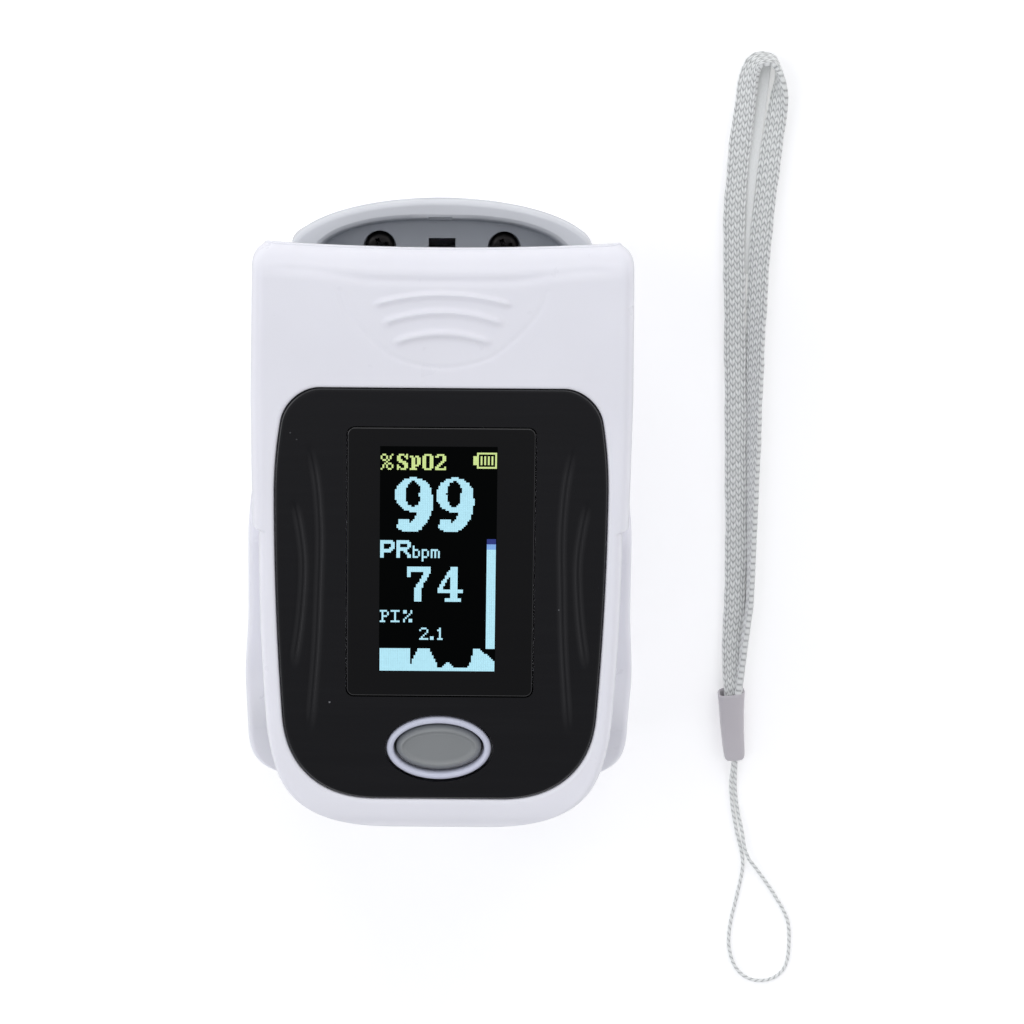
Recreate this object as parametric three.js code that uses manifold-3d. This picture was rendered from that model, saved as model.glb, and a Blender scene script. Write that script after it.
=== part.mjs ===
// Fingertip pulse oximeter: two sprung jaws, a display, a button, two AAA cells and a wrist lanyard.
// Millimetres. +Z is up, +Y points out of the finger opening, X is across.
// The origin is on the surface the device stands on, below the middle of its body.
import * as THREE from "three";
import { mergeVertices } from "three/addons/utils/BufferGeometryUtils.js";
import Module from "manifold-3d";

const wasm = await Module();
wasm.setup();

// ---- Driving dimensions ----
const REAR = -29.3; // rear end of the upper shell; the finger end of the lower jaw is at -REAR
const FACE = 31.2; // height of the display face
const BROW = 0.5; // how far the face rises above that near the finger opening
const COVER_FRONT = 27.5; // front edge of the upper shell
const COVER_HALF = 18.2; // half width of the upper shell in front of the hinge
const COVER_HALF_REAR = 16.9; // and behind it, between the ears
const EAR_HALF = 18.4; // half width of the lower shell across its ears
const STEP_Y = -0.5; // where the upper shell narrows to pass between the ears
const ROOF = 2.5; // thickness of the upper shell under its face
const COVER_WALL = 1.6;
const LOWER_WALL = 1.2;
const LOWER_RIM = 13.8; // top edge of the lower shell
const TRAY_TOP = 15.7; // top of the grey tray's rim
const TRAY_FLOOR = 13.6; // top of the tray's floor
const TRAY_UNDER = 12.75; // underside of the tray's floor
const LIP_HALF = 14.2; // half width of the tray's rounded lip
const LIP_DEPTH = 5.1; // how far the rounded lip stands out
const SKIRT = 16.3; // lower edge of the upper shell's skirts
const LINER_UNDER = 16.6; // lower edge of the upper liner's block
const LINER_TOP = 24.1;
const HINGE_Y = -11.3;
const HINGE_Z = 16.5;
const HINGE_UNDER = 19.2; // underside of the upper jaw over the hinge
const TAIL_UNDER = 22.4; // underside of the upper jaw at its squeezed end
const PANEL_FRONT = 14.25;
const PANEL_REAR = -25.77;
const PANEL_HALF = 15.6;
const PANEL_FLOOR = 29.7; // floor of the recess the panel lies in
const PANEL_TOP = 31.15;
const PANEL_GAP = 0.25; // round the panel, in its recess
const WINDOW = { x: 17.5, y: 25.9, centre: -2.53 };
const SCREEN_HOLE = { x: 15.5, y: 24 };
const BUTTON_Y = -20.74;
const BUTTON = { x: 4.05, y: 2.2 }; // half axes of the cap
const BOARD = { half: 9.5, rear: -24.5, front: 21, low: 25.3, high: 26.2 };
const FINGER = { half: 9.6, rise: 5.2, dip: 1.5, rear: -4, front: 22 };
const SENSOR_Y = 5;
const CELL = { radius: 5.25, length: 44.5, x: 5.6, z: 7.0, nub: 1.9, nubLength: 0.8 };
const DOOR = { half: 11.6, rail: 12.5, front: 18.7, clear: 0.3 };
const FRONT_SCREW = { x: 6.0, y: 24.4 };
const SIDE_SCREW = { x: 14.2, y: 6 };
const LINER_SCREW_FRONT = { x: 13.6, y: 19 };
const LINER_SCREW_REAR = { x: 11.4, y: -21 };
const SCREW = { head: 1.4, headLength: 0.8, shank: 0.6, well: 1.6, pilot: 0.75, boss: 1.6, free: 0.95 };
const STRAP_TUBE = 0.4; // radius
const STRING_TUBE = 0.2; // radius

// ---- Finishes ----
const FINISHES = {
  white_shell: { color: 0xdfe2ec, roughness: 0.38, metalness: 0 },
  grey_liner: { color: 0xc5c8d1, roughness: 0.5, metalness: 0 },
  black_gloss: { color: 0x1e1e20, roughness: 0.12, metalness: 0 },
  window: { color: 0x171717, roughness: 0.05, metalness: 0 },
  button_grey: { color: 0x7d8085, roughness: 0.45, metalness: 0 },
  rubber_pad: { color: 0x9da2aa, roughness: 0.8, metalness: 0 },
  foam: { color: 0x26262a, roughness: 0.95, metalness: 0 },
  display_glass: { color: 0x040605, roughness: 0.1, metalness: 0 },
  board_green: { color: 0x1f5a34, roughness: 0.5, metalness: 0 },
  chip_black: { color: 0x1b1c1e, roughness: 0.6, metalness: 0 },
  amber_film: { color: 0xb6762a, roughness: 0.4, metalness: 0 },
  steel: { color: 0xb9bcc0, roughness: 0.3, metalness: 1 },
  black_steel: { color: 0x1c1c1e, roughness: 0.4, metalness: 0.9 },
  clear_resin: { color: 0xd9dde0, roughness: 0.1, metalness: 0 },
  cell_jacket: { color: 0x3c5f8f, roughness: 0.35, metalness: 0.2 },
  ferrule: { color: 0xafabb3, roughness: 0.4, metalness: 0 },
  cord: { color: 0xc2c2c2, roughness: 0.85, metalness: 0 },
};

// ---- Solids ----
/** A manifold solid from a closed geometry. */
function toSolid(geometry) {
  const bare = geometry.index ? geometry.toNonIndexed() : geometry.clone();
  bare.deleteAttribute("normal");
  bare.deleteAttribute("uv");
  const merged = mergeVertices(bare, 1e-4);
  const mesh = new wasm.Mesh({
    numProp: 3,
    vertProperties: new Float32Array(merged.attributes.position.array),
    triVerts: new Uint32Array(merged.index.array),
  });
  return new wasm.Manifold(mesh);
}

/** The geometry of a manifold solid. */
function toGeometry(solid) {
  const mesh = solid.getMesh();
  const geometry = new THREE.BufferGeometry();
  geometry.setAttribute("position", new THREE.BufferAttribute(mesh.vertProperties, 3));
  geometry.setIndex(new THREE.BufferAttribute(mesh.triVerts, 1));
  geometry.computeVertexNormals();
  return geometry;
}

const join = (first, ...others) => others.reduce((sum, other) => sum.add(other), first);
const cut = (first, ...others) => others.reduce((rest, other) => rest.subtract(other), first);
const bothSides = (make) => [make(-1), make(1)];
/** The X range from near to far on one side. */
const span = (side, near, far) => (side > 0 ? [near, far] : [-far, -near]);

function box(x0, x1, y0, y1, z0, z1) {
  const geometry = new THREE.BoxGeometry(x1 - x0, y1 - y0, z1 - z0);
  geometry.translate((x0 + x1) / 2, (y0 + y1) / 2, (z0 + z1) / 2);
  return toSolid(geometry);
}

/** A box centred across X, from y0 to y1 and z0 to z1. */
const slab = (half, y0, y1, z0, z1) => box(-half, half, y0, y1, z0, z1);

/** A round post along Z. */
function post(radius, x, y, z0, z1, sides = 16) {
  const geometry = new THREE.CylinderGeometry(radius, radius, z1 - z0, sides);
  geometry.rotateX(Math.PI / 2);
  geometry.translate(x, y, (z0 + z1) / 2);
  return toSolid(geometry);
}

/** A round bar along X. */
function bar(radius, x0, x1, y, z, sides = 16) {
  const geometry = new THREE.CylinderGeometry(radius, radius, x1 - x0, sides);
  geometry.rotateZ(Math.PI / 2);
  geometry.translate((x0 + x1) / 2, y, z);
  return toSolid(geometry);
}

/** A shape in the XY plane, raised from z0 to z1. */
function raise(shape, z0, z1, curveSegments = 10) {
  const geometry = new THREE.ExtrudeGeometry(shape, { depth: z1 - z0, bevelEnabled: false, curveSegments });
  geometry.translate(0, 0, z0);
  return toSolid(geometry);
}

/** A side profile of [y, z] points, extruded from x0 to x1. */
function sideExtrude(points, x0, x1) {
  const shape = new THREE.Shape(points.map(([y, z]) => new THREE.Vector2(y, z)));
  const geometry = new THREE.ExtrudeGeometry(shape, { depth: x1 - x0, bevelEnabled: false });
  const turn = new THREE.Matrix4().makeBasis(
    new THREE.Vector3(0, 1, 0),
    new THREE.Vector3(0, 0, 1),
    new THREE.Vector3(1, 0, 0),
  );
  geometry.applyMatrix4(turn);
  geometry.translate(x0, 0, 0);
  return toSolid(geometry);
}

/** A front profile of [x, z] points, extruded from y0 to y1. */
function frontExtrude(points, y0, y1) {
  const shape = new THREE.Shape(points.map(([x, z]) => new THREE.Vector2(x, z)));
  const geometry = new THREE.ExtrudeGeometry(shape, { depth: y1 - y0, bevelEnabled: false });
  geometry.rotateX(Math.PI / 2);
  geometry.translate(0, y1, 0);
  return toSolid(geometry);
}

/** A closed solid through rings of points with equal counts, one behind the other along Y. */
function loft(rings) {
  const count = rings[0].length;
  const positions = rings.flat(2);
  const faces = [];
  for (let ring = 0; ring + 1 < rings.length; ring += 1) {
    for (let i = 0; i < count; i += 1) {
      const a = ring * count + i;
      const b = ring * count + ((i + 1) % count);
      faces.push(a, b + count, b, a, a + count, b + count);
    }
  }
  const last = (rings.length - 1) * count;
  for (let i = 1; i + 1 < count; i += 1) {
    faces.push(0, i, i + 1);
    faces.push(last, last + i + 1, last + i);
  }
  const geometry = new THREE.BufferGeometry();
  geometry.setAttribute("position", new THREE.Float32BufferAttribute(positions, 3));
  geometry.setIndex(faces);
  return toSolid(geometry);
}

/** Points of a rounded box section at y, which narrows by flare towards its top. */
function section(y, { half, low, high, lowRadius, highRadius, flare = 0 }) {
  const steps = 4;
  const corners = [
    [half - lowRadius, low + lowRadius, lowRadius, -90],
    [half - flare - highRadius, high - highRadius, highRadius, 0],
    [-(half - flare - highRadius), high - highRadius, highRadius, 90],
    [-(half - lowRadius), low + lowRadius, lowRadius, 180],
  ];
  const points = [];
  for (const [x, z, radius, start] of corners) {
    for (let i = 0; i <= steps; i += 1) {
      const angle = THREE.MathUtils.degToRad(start + (90 * i) / steps);
      points.push([x + radius * Math.cos(angle), y, z + radius * Math.sin(angle)]);
    }
  }
  return points;
}

/** A plan outline, mirrored about X = 0, from the half width at each station. */
function planShape(halfAt, stations) {
  const right = stations.map((y) => new THREE.Vector2(halfAt(y), y));
  const left = stations.map((y) => new THREE.Vector2(-halfAt(y), y)).reverse();
  const points = [...right, ...left].filter((point, i, all) => !i || point.distanceTo(all[i - 1]) > 1e-3);
  return new THREE.Shape(points);
}

function roundedRectangle(width, length, radius, centreY) {
  const shape = new THREE.Shape();
  const x = width / 2 - radius;
  const y = length / 2 - radius;
  shape.absarc(x, centreY + y, radius, 0, Math.PI / 2);
  shape.absarc(-x, centreY + y, radius, Math.PI / 2, Math.PI);
  shape.absarc(-x, centreY - y, radius, Math.PI, 1.5 * Math.PI);
  shape.absarc(x, centreY - y, radius, 1.5 * Math.PI, 2 * Math.PI);
  return shape;
}

function oval(halfX, halfY, centreY) {
  const shape = new THREE.Shape();
  shape.absellipse(0, centreY, halfX, halfY, 0, 2 * Math.PI);
  return shape;
}

/** Upright oval prism on the button's centre. */
const buttonOval = (grow, z0, z1) =>
  raise(oval(BUTTON.x + grow, BUTTON.y + grow, BUTTON_Y), z0, z1, 14);

/** A wire of round section along a curve. */
function wire(curve, radius, steps, sides) {
  const ring = new THREE.Shape();
  for (let i = 0; i < sides; i += 1) {
    const angle = (2 * Math.PI * i) / sides;
    const [x, y] = [radius * Math.cos(angle), radius * Math.sin(angle)];
    if (i) ring.lineTo(x, y);
    else ring.moveTo(x, y);
  }
  return new THREE.ExtrudeGeometry(ring, { steps, bevelEnabled: false, extrudePath: curve });
}

const curveThrough = (points) =>
  new THREE.CatmullRomCurve3(points.map(([x, y, z]) => new THREE.Vector3(x, y, z)));

// ---- Outlines ----
const clamp01 = (value) => Math.min(1, Math.max(0, value));
const smooth = (value) => clamp01(value) ** 2 * (3 - 2 * clamp01(value));
const roundEnd = (t, power) => (1 - clamp01(t) ** power) ** (1 / power);

/** Half width of the upper shell: full in front of the ears, then narrower with a rounded tail. */
function coverHalf(y) {
  if (y >= STEP_Y) return COVER_HALF - 0.15 * (1 - smooth(y / 15)) - 0.9 * clamp01((y - 24.5) / 3) ** 2.5;
  const side = COVER_HALF_REAR - 0.0022 * (y + 1.3) ** 2;
  return side * roundEnd((-22.4 - y) / 6.9, 3.3);
}

/** Height of the upper shell's face along its length. */
function coverTop(y) {
  const brow = BROW * smooth((y - 8) / 14);
  const tail = 2.6 * (1 - roundEnd((-25.8 - y) / 3.5, 2));
  const visor = 3.4 * (1 - roundEnd((y - 24.6) / 2.9, 2));
  return FACE + brow - tail - visor;
}

/** Half width of the lower jaw: ears and squarish tail, then in to the rounded lip. */
function lowerHalf(y, inset = 0) {
  if (y < -2) return (EAR_HALF - inset) * roundEnd((-21 - y) / (8.2 - inset), 5);
  const t = clamp01((y + 2) / 26.2);
  const side = LIP_HALF + (EAR_HALF - LIP_HALF) * (1 - t * t) ** 1.5;
  return (side - inset) * roundEnd((y - 24.2) / (LIP_DEPTH - inset), 2);
}

/** Height of the lower jaw's underside: flat, then up like a boat at both ends. */
function lowerUnder(y) {
  return 7 * clamp01((y - 17) / 12.3) ** 2.2 + 2 * clamp01((-22 - y) / 7.3) ** 2;
}

/** Half width of the black panel, with small front corners and large rear ones. */
function panelHalf(y, grow = 0) {
  const bulge = y > 4 ? 0.012 : 0.0016;
  const side = PANEL_HALF - bulge * (y - 4) ** 2;
  const front = 3 * (1 - roundEnd((y - (PANEL_FRONT + grow - 3.25)) / 3.25, 2));
  const rear = 8.5 * (1 - roundEnd((PANEL_REAR - grow + 8.47 - y) / 8.47, 2.4));
  return Math.max(0, side - front - rear + grow);
}

const stationsBetween = (from, to, count) =>
  Array.from({ length: count + 1 }, (_, i) => from + ((to - from) * i) / count);
/** Stations that crowd towards both ends of a rounded outline. */
const roundStations = (from, to, count) =>
  stationsBetween(0, Math.PI, count).map((angle) => from + ((to - from) * (1 - Math.cos(angle))) / 2);

const COVER_STATIONS = [
  ...[-29.3, -29.2, -28.9, -28.3, -27.4, -26.2, -24.6, -22.4, -18, -12, -6, -0.6, STEP_Y],
  ...[4, 8, 12, 16, 20, 24.4, 25.8, 26.8, 27.3, COVER_FRONT],
];
const LOWER_STATIONS = [
  ...[-29.2, -29.1, -28.8, -28.2, -27.2, -25.8, -24, -21, -12, -2, 4, 9, 14, 18, 21, 23.5],
  ...[25, 26.2, 27.2, 28, 28.6, 28.95, 29.1],
];

const coverLoft = () =>
  loft(
    COVER_STATIONS.map((y) =>
      section(y, {
        half: Math.max(3, coverHalf(y + 1e-6)),
        low: 12,
        high: coverTop(y),
        lowRadius: 0.4,
        highRadius: 2.2,
        flare: 0.6,
      }),
    ),
  );

const coverHollow = () =>
  loft(
    COVER_STATIONS.filter((y) => y > -27.8).map((y) =>
      section(y === COVER_FRONT ? y + 3 : y, {
        half: Math.max(3, coverHalf(Math.max(y - COVER_WALL, REAR + 0.1)) - COVER_WALL),
        low: 5,
        high: Math.min(coverTop(y), FACE) - ROOF,
        lowRadius: 0.4,
        highRadius: 1.2,
        flare: 0.6,
      }),
    ),
  );

/** The lower jaw's outside, shrunk by inset. */
const lowerLoft = (inset, high) =>
  loft(
    LOWER_STATIONS.map((y) => {
      const reach = y > 0 ? 1 - inset / 29.3 : 1 - inset / 29.2;
      return section(y * reach, {
        half: Math.max(3, lowerHalf(y) - inset),
        low: lowerUnder(y) + inset,
        high,
        lowRadius: 5 - Math.min(inset, 4.5) - 2 * clamp01((y - 24) / 5),
        highRadius: 0.3,
      });
    }),
  );

/** Side profile of the lower shell's upper edge: level, with a rounded ear round the hinge. */
function earProfile() {
  const [half, rise] = [10.6, 9.6];
  const edge = stationsBetween(-1, 1, 14).map((t) => [
    HINGE_Y - half * Math.sin((t * Math.PI) / 2),
    LOWER_RIM + rise * Math.sqrt(1 - Math.abs(Math.sin((t * Math.PI) / 2)) ** 3),
  ]);
  return [[35, LOWER_RIM], ...edge, [-35, LOWER_RIM], [-35, 45], [35, 45]];
}

/** A finger channel arch: half an ellipse over the centre line, closed along its foot. */
function archPoints(half, rise, foot) {
  const angles = stationsBetween(0, Math.PI, 14);
  return angles.map((angle) => [half * Math.cos(angle), foot + rise * Math.sin(angle)]);
}

/** A pan-head screw along Z with a cross recess; the head's top faces the way of facing. */
function screw(x, y, seat, length, facing) {
  const [headEnd, tip] = [seat + facing * SCREW.headLength, seat - facing * length];
  const between = (radius, a, b, sides) => post(radius, x, y, Math.min(a, b), Math.max(a, b), sides);
  const deep = headEnd - facing * 0.4;
  const [low, high] = [Math.min(deep, headEnd + facing), Math.max(deep, headEnd + facing)];
  return cut(
    join(between(SCREW.head, seat, headEnd, 18), between(SCREW.shank, tip, seat + facing * 0.1, 10)),
    box(x - 0.8, x + 0.8, y - 0.17, y + 0.17, low, high),
    box(x - 0.17, x + 0.17, y - 0.8, y + 0.8, low, high),
  );
}

// ---- Upper jaw ----
function topCover() {
  const front = [[40, 5], [25.1, 5], [25.1, SKIRT], [COVER_FRONT, 28.3], [COVER_FRONT, 45], [40, 45]];
  const under = [[40, 0], [40, SKIRT], [STEP_Y, SKIRT], [-7, HINGE_UNDER], [-15, HINGE_UNDER]];
  under.push([-28, TAIL_UNDER], [-40, TAIL_UNDER + 3], [-40, 0]);
  const recess = planShape(
    (y) => panelHalf(y, PANEL_GAP),
    roundStations(PANEL_REAR - PANEL_GAP, PANEL_FRONT + PANEL_GAP, 30),
  );
  let cover = cut(
    coverLoft(),
    coverHollow(),
    sideExtrude(front, -30, 30),
    sideExtrude(under, -30, 30),
    raise(recess, PANEL_FLOOR, 40),
    raise(roundedRectangle(SCREEN_HOLE.x, SCREEN_HOLE.y, 0.8, WINDOW.centre), 20, 40, 4),
  );
  const lugs = bothSides((side) => bar(3.6, ...span(side, 15.5, 16.8), HINGE_Y, HINGE_Z, 24));
  const strap = bothSides((side) => box(...span(side, 15.4, 16.4), -13.5, -9.1, 18, 21));
  const bosses = [LINER_SCREW_FRONT, LINER_SCREW_REAR].flatMap(({ x, y }) =>
    bothSides((side) => post(SCREW.boss, side * x, y, y > 0 ? LINER_TOP + 0.3 : 22.9, FACE - ROOF + 0.2)),
  );
  const pilots = [LINER_SCREW_FRONT, LINER_SCREW_REAR].flatMap(({ x, y }) =>
    bothSides((side) => post(SCREW.pilot, side * x, y, 15, 27.8, 12)),
  );
  cover = join(cover, ...lugs, ...strap, ...bosses, buttonOval(0.95, PANEL_FLOOR - 0.5, FACE + 0.1));
  return cut(cover, bar(1.0, -20, 20, HINGE_Y, HINGE_Z), buttonOval(0.2, 20, 40), ...pilots);
}

function facePanel() {
  const outline = planShape(panelHalf, roundStations(PANEL_REAR, PANEL_FRONT, 30));
  return cut(
    raise(outline, PANEL_FLOOR + 0.1, PANEL_TOP),
    raise(roundedRectangle(WINDOW.x, WINDOW.y, 0.8, WINDOW.centre), 20, 40, 4),
    buttonOval(1.15, 20, 40),
  );
}

function displayWindow() {
  const outline = roundedRectangle(WINDOW.x - 0.4, WINDOW.y - 0.4, 0.7, WINDOW.centre);
  return raise(outline, PANEL_FLOOR + 0.1, PANEL_TOP, 4);
}

function displayGasket() {
  return cut(
    slab(9.4, WINDOW.centre - 13.2, WINDOW.centre + 13.2, 28.35, 28.65),
    slab(SCREEN_HOLE.x / 2, WINDOW.centre - 12, WINDOW.centre + 12, 28, 29),
  );
}

const oledDisplay = () => slab(9.63, WINDOW.centre - 13.35, WINDOW.centre + 13.35, 26.9, 28.3);

/** The display's flexible tail, from its rear edge round and down to the board. */
function displayRibbon() {
  const [centreY, centreZ, reach, rise, thickness] = [-16.4, 27.15, 0.8, 0.75, 0.15];
  const angles = stationsBetween(Math.PI / 2, 1.5 * Math.PI, 8);
  const bend = (inset) =>
    angles.map((angle) => [
      centreY + (reach - inset) * Math.cos(angle),
      centreZ + (rise - inset) * Math.sin(angle),
    ]);
  const ends = { display: [[-16, 27.75], [-16, 27.9]], board: [[-14.5, 26.4], [-14.5, 26.55]] };
  const profile = [...ends.display, ...bend(0), ...ends.board, ...bend(thickness).reverse()];
  return sideExtrude(profile, -6, 6);
}

function mainBoard() {
  const [length, centre] = [BOARD.front - BOARD.rear, (BOARD.front + BOARD.rear) / 2];
  return raise(roundedRectangle(2 * BOARD.half, length, 2, centre), BOARD.low, BOARD.high, 4);
}

const tactSwitchBody = () =>
  cut(slab(2.3, BUTTON_Y - 2.3, BUTTON_Y + 2.3, 26.3, 26.95), post(1.2, 0, BUTTON_Y, 26.4, 28));
const tactSwitchPlunger = () => post(1.0, 0, BUTTON_Y, 26.7, 27.2);

/** The oval cap, with the flange that keeps it in and the stem that works the switch. */
const powerButton = () =>
  join(buttonOval(0, 28.2, 31.1), buttonOval(0.7, 27.7, 28.4), post(1.0, 0, BUTTON_Y, 27.4, 27.9));

function upperLiner() {
  const front = [[40, 5], [24.3, 5], [24.3, LINER_UNDER], [26.3, 28], [40, 28]];
  const blockHalf = (y) => (y < 4.05 ? 14.4 : coverHalf(y) - COVER_WALL - 0.8);
  const block = raise(planShape(blockHalf, [-5, 4, 4.1, 8, 12, 18, 24, 26]), LINER_UNDER, LINER_TOP);
  const arch = archPoints(11.9, 6.5, LINER_UNDER);
  const channel = frontExtrude([[11.9, 10], ...arch, [-11.9, 10]], FINGER.rear, 40);
  const tailProfile = [[-4, HINGE_UNDER], [-15, HINGE_UNDER], [-28, TAIL_UNDER]];
  tailProfile.push([-28, TAIL_UNDER + 1], [-15, HINGE_UNDER + 1], [-4, HINGE_UNDER + 1]);
  const tailHalf = (y) => Math.min(14.4, coverHalf(y - COVER_WALL - 0.35) - COVER_WALL - 0.8);
  const tailPlan = planShape(tailHalf, roundStations(-27.1, -4.5, 14));
  const tail = sideExtrude(tailProfile, -20, 20).intersect(raise(tailPlan, 10, 30));
  const rearBosses = bothSides((side) =>
    post(2.1, side * LINER_SCREW_REAR.x, LINER_SCREW_REAR.y, 20.2, 22.6),
  );
  const holes = bothSides((side) => [
    post(SCREW.free, side * LINER_SCREW_FRONT.x, LINER_SCREW_FRONT.y, 10, 30, 12),
    post(SCREW.well, side * LINER_SCREW_FRONT.x, LINER_SCREW_FRONT.y, 10, 18.6, 16),
    post(SCREW.free, side * LINER_SCREW_REAR.x, LINER_SCREW_REAR.y, 10, 30, 12),
    post(SCREW.well, side * LINER_SCREW_REAR.x, LINER_SCREW_REAR.y, 10, 21.2, 16),
  ]).flat();
  return cut(
    join(cut(block, channel, sideExtrude(front, -30, 30)), tail, ...rearBosses),
    ...holes,
    slab(2.9, SENSOR_Y - 2.4, SENSOR_Y + 2.4, 20, 30),
    slab(2.9, -9.4, -7.2, 15, 30),
  );
}

function upperFingerPad() {
  const outer = archPoints(11.6, 5.95, LINER_UNDER + 0.3);
  const inner = archPoints(FINGER.half, FINGER.rise, LINER_UNDER + 0.3).reverse();
  return cut(
    frontExtrude([...outer, ...inner], FINGER.rear + 0.3, FINGER.front),
    slab(2.5, SENSOR_Y - 2, SENSOR_Y + 2, 15, 30),
  );
}

const emitterBoard = () => slab(2.6, SENSOR_Y - 2.1, SENSOR_Y + 2.1, 23.3, 23.9);
const ledEmitter = () =>
  join(
    slab(1.5, SENSOR_Y - 1.3, SENSOR_Y + 1.3, 22.6, 23.2),
    post(1.0, 0, SENSOR_Y, 22.2, 22.7, 20),
  );

// ---- Lower jaw ----
function bottomCover() {
  const hinge = bothSides((side) => bar(0.95, ...span(side, 16, 17.95), HINGE_Y, HINGE_Z, 12));
  const shell = cut(
    lowerLoft(0, 26),
    lowerLoft(LOWER_WALL, 30),
    sideExtrude(earProfile(), -30, 30),
    slab(DOOR.half + DOOR.clear, -40, DOOR.front + DOOR.clear, -5, 2.6),
    slab(DOOR.rail + DOOR.clear, -40, DOOR.front + DOOR.clear, LOWER_WALL, 2.6),
    slab(DOOR.half + DOOR.clear, -40, -27, -5, 5.3),
  );
  const bosses = [
    ...bothSides((side) => post(SCREW.boss, side * FRONT_SCREW.x, FRONT_SCREW.y, 2, 11.3)),
    ...bothSides((side) => post(SCREW.boss, side * SIDE_SCREW.x, SIDE_SCREW.y, 1.4, 12.4)),
  ].map((boss) => boss.intersect(lowerLoft(0.4, 30)));
  const pilots = [FRONT_SCREW, SIDE_SCREW].flatMap(({ x, y }) =>
    bothSides((side) => post(SCREW.pilot, side * x, y, 6, 20, 12)),
  );
  const eyelet = box(13.2, 16.6, -32, -27.6, 8, 11.4);
  const eyeletBar = post(0.7, 14.9, -28.3, 7.6, 11.8, 10);
  return join(cut(join(shell, ...bosses), ...pilots, ...hinge, eyelet), eyeletBar);
}

function lowerTray() {
  const plugHalf = (y) => lowerHalf(y, LOWER_WALL + 0.3);
  const flangeStations = [0.6, 6, 12, 17, 21, 24.2, 25.8, 27, 28, 28.7, 29.1, 29.28];
  const flange = planShape((y) => lowerHalf(y), flangeStations);
  const channelHalf = (y) => 12.2 * roundEnd((y - 22.4) / 4.8, 2.5);
  const channel = planShape(channelHalf, [-4.3, 22.4, 23.8, 25, 25.9, 26.5, 26.9, 27.15]);
  const holes = bothSides((side) => [
    post(SCREW.well, side * FRONT_SCREW.x, FRONT_SCREW.y, 12.5, 20),
    post(SCREW.free, side * FRONT_SCREW.x, FRONT_SCREW.y, 10, 20, 12),
    post(SCREW.well, side * SIDE_SCREW.x, SIDE_SCREW.y, 14.6, 20),
    post(SCREW.free, side * SIDE_SCREW.x, SIDE_SCREW.y, 10, 20, 12),
  ]).flat();
  const inside = lowerLoft(LOWER_WALL + 0.35, 30);
  const walls = join(
    slab(12.4, -26, 22.8, 3, TRAY_UNDER + 0.1),
    ...bothSides((side) => post(2.3, side * FRONT_SCREW.x, FRONT_SCREW.y, 11.6, TRAY_FLOOR)),
  );
  const deck = raise(planShape(plugHalf, roundStations(-27.6, 27.5, 34)), TRAY_UNDER, TRAY_TOP);
  const plug = join(deck, walls);
  return cut(
    join(plug.intersect(inside), raise(flange, LOWER_RIM + 0.3, TRAY_TOP)),
    slab(11.5, -25.2, 22, 2, TRAY_UNDER),
    raise(channel, TRAY_FLOOR, 20),
    slab(20, -40, -5.5, TRAY_FLOOR, 20),
    ...bothSides((side) => box(...span(side, 15.1, 19), -15.4, -7.2, 5, 20)),
    slab(1.3, 23.1, 25.3, 13, 20),
    slab(2.7, SENSOR_Y - 2.2, SENSOR_Y + 2.2, 12, 20),
    slab(2.8, -9.2, -6.6, 12, 20),
    ...holes,
  );
}

function lowerFingerPad() {
  const dish = stationsBetween(-1, 1, 12).map((t) => [
    FINGER.half * t,
    16.3 - FINGER.dip * Math.sqrt(1 - Math.min(1, t * t)),
  ]);
  const profile = [[-11.9, 13.7], [11.9, 13.7], [11.9, 16.1], [FINGER.half + 0.4, 16.1]];
  profile.push(...dish.reverse().slice(1, -1), [-FINGER.half - 0.4, 16.1], [-11.9, 16.1]);
  return cut(
    frontExtrude(profile, FINGER.rear, FINGER.front),
    slab(2.5, SENSOR_Y - 2, SENSOR_Y + 2, 10, 30),
  );
}

const sensorBoard = () => slab(2.1, SENSOR_Y - 4, SENSOR_Y + 4, 11.7, 12.4);
const photodiode = () => slab(1.3, SENSOR_Y - 1.3, SENSOR_Y + 1.3, 12.5, 13.4);
const photodiodeWindow = () => slab(2.2, SENSOR_Y - 1.7, SENSOR_Y + 1.7, 13.65, 14.5);

/** A round-ended dry cell along Y, its button end towards facing. */
function cell(x, tip, facing) {
  const profile = [
    [0, 0], [CELL.radius - 0.3, 0], [CELL.radius, 0.3], [CELL.radius, CELL.length - 1.4],
    [CELL.radius - 0.6, CELL.length - CELL.nubLength], [CELL.nub, CELL.length - CELL.nubLength],
    [CELL.nub, CELL.length], [0, CELL.length],
  ].map(([radius, along]) => new THREE.Vector2(radius, along));
  const geometry = new THREE.LatheGeometry(profile, 28);
  if (facing < 0) geometry.rotateX(Math.PI);
  geometry.translate(x, tip - facing * CELL.length, CELL.z);
  return toSolid(geometry);
}

/** A conical contact spring along Y, from its base at y0 to its small end at y1. */
function contactSpring(x, y0, y1) {
  const turns = 2.5;
  const points = stationsBetween(0, 1, 30).map((t) => {
    const radius = 3.1 - 1.3 * t;
    const angle = 2 * Math.PI * turns * t;
    return [x + radius * Math.cos(angle), y0 + (y1 - y0) * t, CELL.z + radius * Math.sin(angle)];
  });
  return toSolid(wire(curveThrough(points), 0.25, 34, 6));
}

const positiveContact = () => box(CELL.x - 3.5, CELL.x + 3.5, 21.45, 21.85, 3.4, 10.6);
const negativeContact = () =>
  join(box(-CELL.x - 3.5, -CELL.x + 3.5, 21.5, 21.85, 3.4, 10.6), contactSpring(-CELL.x, 21.45, 20.3));
const bridgeContact = () =>
  join(slab(9.3, -25.1, -24.75, 3.4, 10.6), contactSpring(CELL.x, -24.75, -23.65));

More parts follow.
